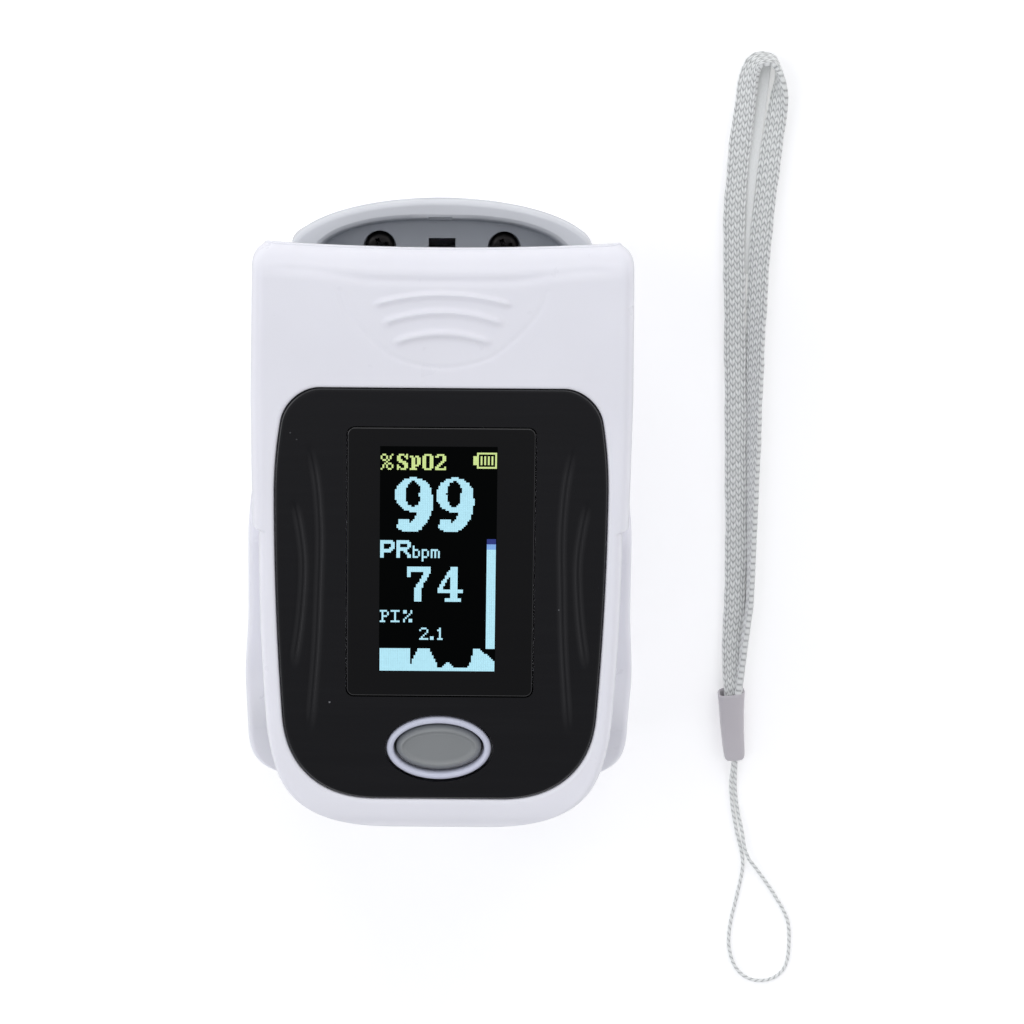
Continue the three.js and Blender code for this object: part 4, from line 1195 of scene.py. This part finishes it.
def finger_pads():
    outer = arch(11.6, 5.95, LINER_UNDER + 0.3)
    inner = arch(FINGER_HALF, FINGER_RISE, LINER_UNDER + 0.3)[::-1]
    upper = front_extrude(
        np.vstack([outer, inner]), FINGER_REAR + 0.3, FINGER_FRONT, "upper_finger_pad_rubber"
    )
    carve(upper, slab(2.5, SENSOR_Y - 2, SENSOR_Y + 2, 15, 30))
    bevel(upper, 0.3, 3)
    finish_piece(upper, "upper_jaw", MAT["rubber_pad"], ["upper_finger_pad"])
    t = np.linspace(1, -1, 49)[1:-1]
    dish = np.column_stack([FINGER_HALF * t, 16.3 - FINGER_DIP * np.sqrt(1 - t * t)])
    profile = [(-11.9, 13.7), (11.9, 13.7), (11.9, 16.1), (FINGER_HALF + 0.4, 16.1), *dish]
    profile += [(-FINGER_HALF - 0.4, 16.1), (-11.9, 16.1)]
    lower = front_extrude(profile, FINGER_REAR, FINGER_FRONT, "lower_finger_pad_rubber")
    carve(lower, slab(2.5, SENSOR_Y - 2, SENSOR_Y + 2, 10, 30))
    bevel(lower, 0.3, 3)
    finish_piece(lower, "lower_jaw", MAT["rubber_pad"], ["lower_finger_pad"])


# ---- Lower jaw ----
def lower_half(y, inset=0.0):
    rear = (EAR_HALF + 0.4 * smooth((-9 - y) / 9) - inset) * round_end((-21 - y) / (8.2 - inset), 5)
    t = clamp01((y + 2) / 26.2)
    side = LIP_HALF + (EAR_HALF - LIP_HALF) * (1 - t * t) ** 1.5
    front = (side - inset) * round_end((y - 24.2) / (LIP_DEPTH - inset), 2)
    return np.where(y < -2, rear, front)


def lower_under(y):
    return 7 * clamp01((y - 17) / 12.3) ** 2.2 + 2 * clamp01((-22 - y) / 7.3) ** 2


def rim_height(y):
    """Upper edge of the lower shell: level, with an ear round the hinge that slopes down behind it."""
    front = round_end((y - STEP_Y + 3.3) / 3.5, 2.2)
    rear = 1 - smooth((-11.8 - y) / 15.5)
    return LOWER_RIM + np.maximum(9.4 * np.minimum(front, rear), 1.3 * smooth((-16 - y) / 4))


def ear_inside(y):
    """Half the room between the ears, which follow the cover's sides closely."""
    return cover_half(np.minimum(y + 2.3, STEP_Y - 0.5)) - 0.16


def lower_stations():
    return np.unique(np.concatenate([
        -21 - 8.2 * end_steps(5, 26)[:-1], -29.19 * np.ones(1), np.linspace(-26.5, -3.6, 44),
        STEP_Y - 3.3 + 3.5 * np.sin(np.linspace(0, PI / 2, 22)),
        np.linspace(0.7, 24, 21), 24.2 + 5.09 * np.sin(np.linspace(0, PI / 2, 26)),
    ]).round(5))


def lower_ring(y, half, low, high, low_radius, high_radius, steps=10):
    half = max(half, 0.05)
    low_radius = min(low_radius, 0.95 * half, 0.8 * (high - low))
    high_radius = min(high_radius, 0.8 * half)
    points = []
    for x, z, radius, start in (
        (half - low_radius, low + low_radius, low_radius, -90),
        (half - high_radius, high - high_radius, high_radius, 0),
        (-(half - high_radius), high - high_radius, high_radius, 90),
        (-(half - low_radius), low + low_radius, low_radius, 180),
    ):
        a = np.radians(np.linspace(start, start + 90, steps))
        points.append(np.column_stack([x + radius * np.cos(a), np.full(steps, y), z + radius * np.sin(a)]))
    return np.vstack(points)


def lower_loft(inset, high=None, high_radius=0.3, name="cutter", lean=0.2):
    rings = []
    for y in lower_stations():
        reach = 1 - inset / (29.3 if y > 0 else 29.2)
        ring = lower_ring(
            y * reach,
            float(lower_half(y)) - inset,
            float(lower_under(y)) + inset,
            float(rim_height(y)) if high is None else high,
            5 - min(inset, 4.5) - 2 * float(clamp01((y - 24) / 5)),
            high_radius,
        )
        ring[:, 1] -= lean * (LOWER_RIM - np.clip(ring[:, 2], 7.5, LOWER_RIM)) * float(smooth((y - 22) / 6))
        rings.append(ring)
    return loft(name, rings)


def upper_room():
    """The room above the tray, between the ears and inside the front rim."""
    y = np.concatenate([
        -28.0 + 28.1 * (1 - np.cos(np.linspace(0, PI / 2, 40))), np.linspace(0.3, 24, 30),
        24.2 + 3.85 * end_steps(2, 24)[:-1],
    ])
    ears, front = ear_inside(y), lower_half(y) - LOWER_WALL
    rear = lower_half(y) - LOWER_WALL
    half = np.where(y < 0.2, np.minimum(ears, rear), front)
    return prism(plan(lambda _: half, y), 13.6, 30)


def bottom_cover():
    shell = lower_loft(0, None, 0.6, "bottom_cover_shell")
    carve(
        shell,
        lower_loft(LOWER_WALL, 13.7),
        upper_room(),
        slab(DOOR_HALF + DOOR_CLEAR, -40, DOOR_FRONT + DOOR_CLEAR, -5, 2.6),
        slab(DOOR_RAIL + DOOR_CLEAR, -40, DOOR_FRONT + DOOR_CLEAR, LOWER_WALL, 2.6),
        slab(DOOR_HALF + DOOR_CLEAR, -40, -27, -5, 5.3),
    )
    bosses = []
    for (x, y), low, high in ((FRONT_SCREW, 2, 11.3), (SIDE_SCREW, 1.4, 12.4)):
        for s in (-1, 1):
            boss = post(1.6, s * x, y, low, high)
            bosses.append(carve(boss, lower_loft(0.4, 30), operation="INTERSECT"))
    join(shell, *bosses)
    holes = [post(0.75, s * x, y, 6, 20) for x, y in (FRONT_SCREW, SIDE_SCREW) for s in (-1, 1)]
    holes += [across_bar(0.95, *span(s, 16, 17.95)) for s in (-1, 1)]
    carve(shell, *holes, box(13.2, 16.6, -32, -27.6, 8, 11.4))
    join(shell, post(0.7, 14.9, -28.3, 7.6, 11.8, 24))
    finish_piece(shell, "lower_jaw", MAT["white_shell"], ["bottom_cover"], angle=42)


def lower_tray():
    stations = -27.6 + 55.1 * (1 - np.cos(np.linspace(0, PI, 90))) / 2
    tray = prism(
        plan(lambda y: lower_half(y, LOWER_WALL + 0.3), stations), TRAY_UNDER, TRAY_TOP, "lower_tray_liner"
    )
    walls = slab(12.4, -26, 22.8, 3, TRAY_UNDER + 0.1)
    posts = [post(2.3, s * FRONT_SCREW[0], FRONT_SCREW[1], 11.6, TRAY_FLOOR) for s in (-1, 1)]
    join(tray, walls, *posts)
    carve(tray, lower_loft(LOWER_WALL + 0.35, 30, lean=0), operation="INTERSECT")
    y = np.concatenate([np.linspace(0.8, 24, 30), 24.2 + 5.08 * np.sin(np.linspace(0, PI / 2, 40))])

    def lip_outline(grow):
        half = lower_half(y)
        loop = plan(lambda _: half, y)
        if grow:
            loop = inset_ring(loop[::-1], -grow)[::-1]
        loop[:, 1] = np.maximum(loop[:, 1], 0.8)
        return loop

    lip = plate("lip", lip_outline, LOWER_RIM + 0.3, TRAY_TOP, 0.5)
    join(tray, lip)
    channel_y = np.concatenate([[-4.3], 22.4 + 4.75 * end_steps(2.5, 30)])
    rings = []
    for z, grow in (
        (TRAY_FLOOR, -0.45), (TRAY_FLOOR + 0.13, -0.15), (TRAY_FLOOR + 0.45, 0.0), (TRAY_TOP - 0.4, 0.3),
        (TRAY_TOP - 0.12, 0.5), (TRAY_TOP - 0.01, 0.8), (20, 0.8)
    ):
        half = 12.2 * round_end((channel_y - 22.4) / 4.8, 2.5)
        loop = inset_ring(plan(lambda _: half, channel_y)[::-1], -grow)[::-1]
        rings.append(at_height(loop, z))
    tools = [loft("cutter", rings), slab(11.5, -25.2, 22, 2, TRAY_UNDER), slab(20, -40, -5.5, TRAY_FLOOR, 20)]
    tools += [box(*span(s, 15.1, 19), -15.4, -7.2, 5, 20) for s in (-1, 1)]
    tools += [
        slab(1.3, 23.1, 25.3, 9, 20), box(-1.35, 0.95, 27.25, 27.7, 14.5, 20),
        slab(2.7, SENSOR_Y - 2.2, SENSOR_Y + 2.2, 12, 20), slab(2.8, -9.2, -6.6, 12, 20)
    ]
    for (x, y0), low in ((FRONT_SCREW, 12.5), (SIDE_SCREW, 14.6)):
        for s in (-1, 1):
            tools += [post(1.6, s * x, y0, low, 20), post(0.95, s * x, y0, 10, 20)]
    carve(tray, *tools)
    finish_piece(tray, "lower_jaw", MAT["tray_grey"], ["lower_tray"])


def battery_cover():
    door = slab(DOOR_HALF, -35, DOOR_FRONT, -2, 1.5, "battery_cover_door")
    parts = [box(*span(s, 10.95, DOOR_HALF), -27.5, DOOR_FRONT, 1, 2.3) for s in (-1, 1)]
    parts += [box(*span(s, 10.95, DOOR_RAIL), -27.5, DOOR_FRONT, 1.5, 2.3) for s in (-1, 1)]
    parts += [slab(DOOR_HALF, -35, -27.3, -2, 5), slab(DOOR_HALF, -27.5, -26, 1, 2.3)]
    join(door, *parts)
    carve(door, lower_loft(0.25, 20), operation="INTERSECT")
    grips = []
    for i in range(6):
        y = -19.5 + 1.5 * i
        half = 5.2 - 0.45 * i
        a = np.linspace(-1, 1, 25)
        loop = np.vstack([
            np.column_stack([half * a, y - 0.8 * (1 - a * a) - 0.28]),
            np.column_stack([half * a, y - 0.8 * (1 - a * a) + 0.28])[::-1],
        ])
        rings = [
            at_height(loop, 0.4), at_height(loop, 0.12),
            at_height(np.array([0, y - 0.4]) + (loop - [0, y - 0.4]) * [0.98, 0.8], 0.03)
        ]
        grips.append(loft("grip", rings))
    arrow = np.array(
        [(0, -25.2), (2.2, -22.9), (0.9, -22.9), (0.9, -21.6), (-0.9, -21.6), (-0.9, -22.9), (-2.2, -22.9)],
        float
    )
    join(door, *grips)
    carve(door, prism(arrow, -1, 0.55))
    finish_piece(door, "battery_door", MAT["white_shell"], ["battery_cover"])


# ---- Hardware ----
def screw(name, x, y, seat, length, facing, body, finish, node):
    """A pan-head screw with a cross recess and a turned thread."""
    head = [(1.40, 0.0), (1.42, 0.25), (1.38, 0.45), (1.22, 0.64), (0.9, 0.76), (0.4, 0.8)]
    turns = np.arange(0, length - 0.8, 0.125)
    thread = [(0.62 if i % 2 else 0.5, -d - 0.3) for i, d in enumerate(turns)]
    profile = [(0.12, -length), (0.35, -length + 0.4), *thread[::-1], (0.62, -0.1), (0.62, 0.0), *head]
    rings = [at_height(circle(r, x, y, 32), seat + facing * z) for r, z in profile]
    piece = loft(name, rings)
    top = seat + facing * 0.8
    arms = []
    for turn in (0.35, 0.35 + PI / 2):
        c, s = math.cos(turn), math.sin(turn)
        loops = []
        for depth, half, wide in ((0.55, 0.45, 0.1), (0.0, 0.85, 0.2), (-0.3, 0.95, 0.24)):
            corners = np.array([(-half, -wide), (half, -wide), (half, wide), (-half, wide)])
            spun = np.column_stack(
                [corners[:, 0] * c - corners[:, 1] * s, corners[:, 0] * s + corners[:, 1] * c]
            )
            loops.append(at_height(spun + [x, y], top - facing * depth))
        arms.append(loft("arm", loops))
    carve(piece, *arms)
    finish_piece(piece, body, MAT[finish], [node])


def screws():
    for row, (x, y, seat, length) in enumerate(LINER_SCREWS):
        for column, s in enumerate((-1, 1)):
            number = 2 * row + column + 1
            screw(
                f"upper_screw_{number}_head", s * x, y, seat, length, -1, "upper_jaw", "steel",
                f"upper_screw_{number}"
            )
    for row, ((x, y), seat) in enumerate(((FRONT_SCREW, 12.6), (SIDE_SCREW, 14.7))):
        for column, s in enumerate((-1, 1)):
            number = 2 * row + column + 1
            screw(
                f"lower_screw_{number}_head", s * x, y, seat, 6, 1, "lower_jaw", "black_steel",
                f"lower_screw_{number}"
            )


def hinge():
    pin = across_bar(0.8, -17.75, 17.75, name="hinge_pin_rod")
    bevel(pin, 0.15, 2)
    finish_piece(pin, "lower_jaw", MAT["steel"], ["hinge_pin"])
    turns, radius, inner, outer = 3, 2.0, 10.4, 13.6
    for name, side in (("left", -1), ("right", 1)):
        points = [(side * inner, -17.5, 14.3), (side * inner, -14.5, 14.4)]
        for t in np.linspace(0, 1, turns * 12 + 1):
            a = -PI / 2 + 2 * PI * (turns + 0.5) * t
            points.append(
                (
                    side * (inner + (outer - inner) * t), HINGE_Y + radius * math.cos(a),
                    HINGE_Z + radius * math.sin(a)
                )
            )
        points += [(side * outer, -14.5, 18.75), (side * outer, -17.5, 19.3)]
        spring = tube(f"torsion_spring_{name}_wire", points, 0.33)
        finish_piece(
            spring, None, MAT["steel"], [f"torsion_spring_{name}"], angle=60, weighted=False
        )
        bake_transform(spring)


def flat_lead():
    centre = curve_through(
        [
            (0, 2, 12.57), (0, -2, 12.57), (0, -6.6, 12.57), (0, -7.4, 12.75), (0, -8, 13.5), (0, -8.3, 16),
            (0, -8.3, 20), (0, -8.3, 24.9)
        ],
        0.25
    )[0]
    along = unit(np.gradient(centre[:, 1:], axis=0))
    normal = np.column_stack([-along[:, 1], along[:, 0]])
    rings = []
    for (_, y, z), (ny, nz) in zip(centre, normal):
        rings.append(
            [
                (sx * 2.2, y + sz * 0.08 * ny, z + sz * 0.08 * nz)
                for sx, sz in ((-1, -1), (1, -1), (1, 1), (-1, 1))
            ]
        )
    lead = loft("flex_cable_film", rings)
    finish_piece(lead, None, MAT["amber_film"], ["flex_cable"])
    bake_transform(lead)


def cells():
    for name, x, tip, facing in (("battery_1", CELL_X, 21.3, 1), ("battery_2", -CELL_X, -24.6, -1)):
        profile = [
            (0.3, 0.25), (3.6, 0.25), (4.0, 0.0), (CELL_RADIUS - 0.35, 0.0), (CELL_RADIUS - 0.08, 0.1),
            (CELL_RADIUS, 0.35), (CELL_RADIUS, 1.6), (CELL_RADIUS - 0.12, 1.75),
            (CELL_RADIUS - 0.12, 1.9), (CELL_RADIUS, 2.05), (CELL_RADIUS, CELL_LENGTH - 1.7),
            (CELL_RADIUS - 0.15, CELL_LENGTH - 1.3), (CELL_RADIUS - 0.7, CELL_LENGTH - 0.85),
            (4.0, CELL_LENGTH - 0.95), (2.3, CELL_LENGTH - 0.9), (1.95, CELL_LENGTH - 0.8),
            (1.9, CELL_LENGTH - 0.15), (1.75, CELL_LENGTH), (0.3, CELL_LENGTH),
        ]
        rings = []
        for r, d in profile:
            disc = circle(r, x, CELL_Z, 64)
            rings.append(
                np.column_stack([disc[:, 0], np.full(64, tip - facing * (CELL_LENGTH - d)), disc[:, 1]])
            )
        cell = loft(f"{name}_cell", rings)
        finish_piece(cell, "lower_jaw", MAT["cell_jacket"], [name])


# ---- Readout ----
ROW, COLUMN = np.mgrid[0:128, 0:64] + 0.5


def inside_oval(cx, cy, rx, ry):
    return ((COLUMN - cx) / rx) ** 2 + ((ROW - cy) / ry) ** 2 <= 1


def inside_box(x0, x1, y0, y1):
    return (COLUMN > x0) & (COLUMN < x1) & (ROW > y0) & (ROW < y1)


def inside_line(x0, y0, x1, y1, half):
    gap, _ = line_distance(COLUMN, ROW, [(x0, y0), (x1, y1)])
    return gap <= half


def nine(x, y, w, h):
    """A bold serif 9 in a box."""
    s = w / 21
    bowl = (
        inside_oval(x + 10.2 * s, y + 0.315 * h, 10.4 * s, 0.325 * h)
        & ~inside_oval(x + 9.9 * s, y + 0.30 * h, 4.3 * s, 0.245 * h)
    )
    sweep = (
        inside_oval(x + 8.2 * s, y + 0.46 * h, 12.8 * s, 0.55 * h)
        & ~inside_oval(x + 5.0 * s, y + 0.42 * h, 8.6 * s, 0.46 * h)
    )
    sweep &= (COLUMN > x + 8 * s) & (ROW > y + 0.28 * h)
    hook = (
        inside_box(x + 1.8 * s, x + 8.6 * s, y + 0.79 * h, y + 0.94 * h)
        & ~inside_oval(x + 11 * s, y + 0.8 * h, 3.2 * s, 0.1 * h)
    )
    foot = inside_oval(x + 8.2 * s, y + 0.92 * h, 7.2 * s, 0.095 * h) & (ROW > y + 0.86 * h)
    return bowl | sweep | hook | foot


def seven(x, y, w, h):
    bar = inside_box(x, x + w, y, y + 0.16 * h)
    drop = inside_box(x, x + 0.14 * w, y, y + 0.3 * h)
    leg = inside_line(x + 0.88 * w, y + 0.14 * h, x + 0.52 * w, y + 0.55 * h, 0.12 * w)
    stem = inside_line(x + 0.5 * w, y + 0.56 * h, x + 0.42 * w, y + 1.0 * h, 0.16 * w)
    return (bar | drop | leg | stem) & inside_box(x, x + w, y, y + h)


def four(x, y, w, h):
    stem = inside_box(x + 0.5 * w, x + 0.78 * w, y, y + h)
    bar = inside_box(x, x + w, y + 0.64 * h, y + 0.74 * h)
    slope = inside_line(x + 0.6 * w, y + 0.04 * h, x + 0.06 * w, y + 0.68 * h, 0.075 * w)
    foot = inside_box(x + 0.3 * w, x + 0.95 * w, y + 0.92 * h, y + h)
    return (stem | bar | slope | foot) & inside_box(x, x + w, y, y + h)


# Generic letters as a width in dots and rows of dots, each row a number whose bits run from left to
# right. They were drawn. "Thin" ones have strokes one dot wide.
LETTERS = {
    "%": (7, [0x31, 0x4A, 0x4A, 0x34, 0x08, 0x16, 0x29, 0x29, 0x46]),
    "S": (6, [0x1D, 0x33, 0x31, 0x38, 0x1E, 0x07, 0x23, 0x33, 0x2E]),
    "p": (6, [0x00, 0x00, 0x36, 0x1B, 0x1B, 0x1B, 0x1B, 0x1E, 0x18, 0x3C]),
    "O": (6, [0x1E, 0x33, 0x33, 0x33, 0x33, 0x33, 0x33, 0x33, 0x1E]),
    "2": (6, [0x1E, 0x33, 0x03, 0x03, 0x06, 0x0C, 0x18, 0x31, 0x3F]),
    "P": (8, [0xFE, 0xFF, 0xC3, 0xC3, 0xC7, 0xFE, 0xFC, 0xC0, 0xC0, 0xC0]),
    "R": (8, [0xFE, 0xFF, 0xC3, 0xC3, 0xFE, 0xFC, 0xCC, 0xC6, 0xC3, 0xC3]),
    "b": (4, [0x8, 0x8, 0xE, 0x9, 0x9, 0x9, 0xE]),
    "p thin": (4, [0x0, 0x0, 0xE, 0x9, 0x9, 0x9, 0xE, 0x8, 0x8]),
    "m": (5, [0x00, 0x00, 0x1E, 0x15, 0x15, 0x15, 0x15]),
    "P thin": (5, [0x1E, 0x09, 0x09, 0x0E, 0x08, 0x08, 0x1C]),
    "I": (5, [0x1F, 0x04, 0x04, 0x04, 0x04, 0x04, 0x1F]),
    "% thin": (5, [0x19, 0x19, 0x02, 0x04, 0x08, 0x13, 0x13]),
    "2 thin": (5, [0x0E, 0x11, 0x01, 0x02, 0x04, 0x08, 0x1F]),
    "1": (4, [0x02, 0x06, 0x02, 0x02, 0x02, 0x02, 0x07]),
    ".": (2, [0x00, 0x00, 0x00, 0x00, 0x00, 0x03, 0x03]),
}


def stamp(mask, letters):
    """Sets the dots of letters, each given with its left column and top row."""
    for letter, column, row in letters:
        width, rows = LETTERS[letter]
        for r, bits in enumerate(rows):
            for c in range(width):
                if bits >> (width - 1 - c) & 1:
                    mask[row + r, column + c] = True


def readout():
    yellow = np.zeros((128, 64), bool)
    stamp(yellow, [("%", 0, 4), ("S", 9, 4), ("p", 16, 3), ("O", 23, 4), ("2", 30, 4)])
    battery = inside_box(53, 64, 3, 12) & ~inside_box(54, 63, 4, 11)
    battery |= inside_box(51, 53, 5, 10)
    for i in range(4):
        battery |= inside_box(55 + 2 * i, 56 + 2 * i, 5, 10)
    yellow |= battery
    cyan = (
        nine(8.3, 17.6, 20.6, 30) | nine(31, 17.6, 20.6, 30) | seven(15.3, 68, 12.6, 20)
        | four(31.8, 68, 14, 20)
    )
    stamp(cyan, [("P", 0, 53), ("R", 9, 53), ("b", 18, 56), ("p thin", 23, 56), ("m", 28, 56)])
    stamp(
        cyan,
        [
            ("P thin", 0, 93), ("I", 6, 93), ("% thin", 13, 93), ("2 thin", 22, 103), (".", 28, 103),
            ("1", 31, 103)
        ]
    )
    cyan |= inside_box(59, 64, 58, 115)
    blue = inside_box(59, 64, 55, 58)
    navy = inside_box(59, 64, 52, 55)
    x = COLUMN
    top = np.full_like(x, 126.0)
    top = np.where(x < 17, 114.6 + 0.8 * ((x % 4 > 3) | (x < 1)), top)
    hump = 114.6 + 11.6 * (np.maximum(0, np.abs(x - 24.6) - 2.6) / 5.4) ** 1.25
    top = np.where((x >= 17.5) & (x < 33), np.minimum(hump, 126), top)
    small = 122 + 4 * np.abs(x - 38) / 3.2
    top = np.where((x >= 33) & (x < 43), np.minimum(small, 126), top)
    climb = np.interp(x, [48.5, 50.2, 52.7, 55.7, 64], [126, 124.5, 114.6, 115, 122.5])
    top = np.where(x >= 48, climb, top)
    cyan |= (ROW > top) & (ROW < 128)
    pitch_x, pitch_y = LIT_X / 64, LIT_Y / 128
    for name, mask, colour, strength in (
        ("readout_yellow", yellow, srgb(212, 234, 150), 1.0),
        ("readout_cyan", cyan & ~yellow, srgb(184, 236, 252), 1.0),
        ("readout_blue", blue, srgb(130, 175, 235), 1.0),
        ("readout_navy", navy, srgb(40, 52, 125), 1.0),
    ):
        rows, columns = np.nonzero(mask)
        x0 = LIT_CENTRE[0] - LIT_X / 2 + columns * pitch_x
        y0 = LIT_CENTRE[1] + LIT_Y / 2 - (rows + 1) * pitch_y
        inset = 0.003
        corners = []
        for dx, dy in (
            (inset, inset), (pitch_x - inset, inset), (pitch_x - inset, pitch_y - inset),
            (inset, pitch_y - inset)
        ):
            for z in (PANEL_TOP - 0.016, PANEL_TOP - 0.002):
                corners.append(np.column_stack([x0 + dx, y0 + dy, np.full(len(x0), z)]))
        verts = np.stack(corners, 1).reshape(-1, 3)
        base = np.arange(len(x0))[:, None] * 8
        pattern = [(1, 3, 5, 7), (0, 6, 4, 2), (0, 2, 3, 1), (2, 4, 5, 3), (4, 6, 7, 5), (6, 0, 1, 7)]
        faces = np.concatenate([base + np.array(p) for p in pattern]).tolist()
        dots = new_object(name, verts, faces)
        finish_piece(
            dots, "upper_jaw", glow(name, colour, strength), angle=30, weighted=False
        )


# ---- CAD nodes that stay, with their own materials ----
CARRIED = {
    "display_gasket": "foam", "display_ribbon": "amber_film", "main_board": "board_green",
    "mcu_chip": "chip_black", "amplifier_chip": "chip_black", "tact_switch_body": "chip_black",
    "tact_switch_plunger": "black_gloss", "emitter_board": "board_green", "led_emitter": "clear_resin",
    "sensor_board": "board_green", "photodiode": "chip_black", "photodiode_window": "clear_resin",
    "positive_contact": "steel", "negative_contact": "steel", "bridge_contact": "steel",
}


def carried_nodes():
    for node, finish in CARRIED.items():
        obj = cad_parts[node]
        obj.data.materials.clear()
        obj.data.materials.append(MAT[finish])
        weld = obj.modifiers.new("weld", "WELD")
        weld.merge_threshold = 1e-6
        edge = obj.modifiers.new("bevel", "BEVEL")
        edge.width, edge.segments = 0.00006, 2
        edge.limit_method, edge.angle_limit = "ANGLE", math.radians(50)


top_cover()
face_panel()
display_window()
power_button()
readout()
upper_liner()
finger_pads()
bottom_cover()
lower_tray()
battery_cover()
screws()
hinge()
flat_lead()
cells()
carried_nodes()


# ---- Stage ----
FLOOR_SIZE = 3.0
FLOOR_DROP = 0.00005
# The dim patch of the sky leans this far towards the tail, where the panel mirrors it to the camera.
PATCH_LEAN = math.radians(18.5)


def floor_plane():
    mesh = bpy.data.meshes.new("floor")
    corners = [(x * FLOOR_SIZE, y * FLOOR_SIZE, 0) for x, y in ((-1, -1), (1, -1), (1, 1), (-1, 1))]
    mesh.from_pydata(corners, [], [(0, 1, 2, 3)])
    floor = bpy.data.objects.new("floor", mesh)
    floor.location.z = -FLOOR_DROP
    bpy.context.scene.collection.objects.link(floor)
    n = Nodes("floor", (0.93, 0.93, 0.93), 0.7)
    n.set("Emission Color", (1, 1, 1, 1))
    n.set("Emission Strength", 0.26)
    n.set("Specular IOR Level", 0.1)
    n.colour(n.ramp(n.noise(3, 2), (0.3, (0.92, 0.92, 0.92)), (0.7, (0.94, 0.94, 0.94))))
    mesh.materials.append(n.material)


def sky():
    """A pale studio sky, dim overhead where the panel mirrors it and dimmer towards the horizon."""
    world = bpy.data.worlds.new("world")
    bpy.context.scene.world = world
    world.use_nodes = True
    tree = world.node_tree

    def ranged(source, values, interpolation="LINEAR"):
        node = tree.nodes.new("ShaderNodeMapRange")
        node.interpolation_type = interpolation
        for socket, value in zip(("From Min", "From Max", "To Min", "To Max"), values):
            node.inputs[socket].default_value = value
        tree.links.new(source, node.inputs["Value"])
        return node.outputs["Result"]

    def product(a, b):
        node = tree.nodes.new("ShaderNodeMath")
        node.operation = "MULTIPLY"
        tree.links.new(a, node.inputs[0])
        tree.links.new(b, node.inputs[1])
        return node.outputs[0]

    direction = tree.nodes.new("ShaderNodeTexCoord").outputs["Generated"]
    towards = tree.nodes.new("ShaderNodeVectorMath")
    towards.operation = "DOT_PRODUCT"
    towards.inputs[1].default_value = (0.02, -math.sin(PATCH_LEAN), math.cos(PATCH_LEAN))
    tree.links.new(direction, towards.inputs[0])
    nearness = towards.outputs["Value"]
    height = tree.nodes.new("ShaderNodeSeparateXYZ")
    tree.links.new(direction, height.inputs[0])
    wide = ranged(nearness, (0.80, 0.985, 0.70, 0.20), "SMOOTHSTEP")
    core = ranged(nearness, (0.985, 0.9995, 1.0, 0.4))
    low = ranged(height.outputs["Z"], (0.0, 0.55, 0.42, 1.08), "SMOOTHSTEP")
    background = tree.nodes["Background"]
    background.inputs["Color"].default_value = (0.95, 0.955, 1.0, 1)
    tree.links.new(product(product(wide, core), low), background.inputs["Strength"])


def softboxes():
    for name, location, size, power, colour in (
        ("left", (-0.75, 0.15, 0.65), (0.7, 1.0), 2.2, (0.95, 0.97, 1.0)),
        ("right", (0.8, 0.1, 0.6), (0.6, 1.0), 0.75, (1.0, 0.98, 0.97)),
        ("front", (0.05, 0.95, 0.55), (1.2, 0.5), 2.9, (1.0, 1.0, 1.0)),
        ("rear", (0.0, -0.9, 0.6), (1.2, 0.5), 1.4, (0.97, 0.98, 1.0)),
    ):
        light = bpy.data.lights.new(name, "AREA")
        light.shape, light.size, light.size_y = "RECTANGLE", *size
        light.energy, light.color = power, colour
        lamp = bpy.data.objects.new(name, light)
        bpy.context.scene.collection.objects.link(lamp)
        lamp.location = location
        towards_object = Vector((0.005, 0, 0.02)) - Vector(location)
        lamp.rotation_euler = towards_object.to_track_quat("-Z", "Y").to_euler()


def stage():
    floor_plane()
    sky()
    softboxes()
    view = bpy.context.scene.view_settings
    view.view_transform = "Standard"
    view.look = "None"


stage()
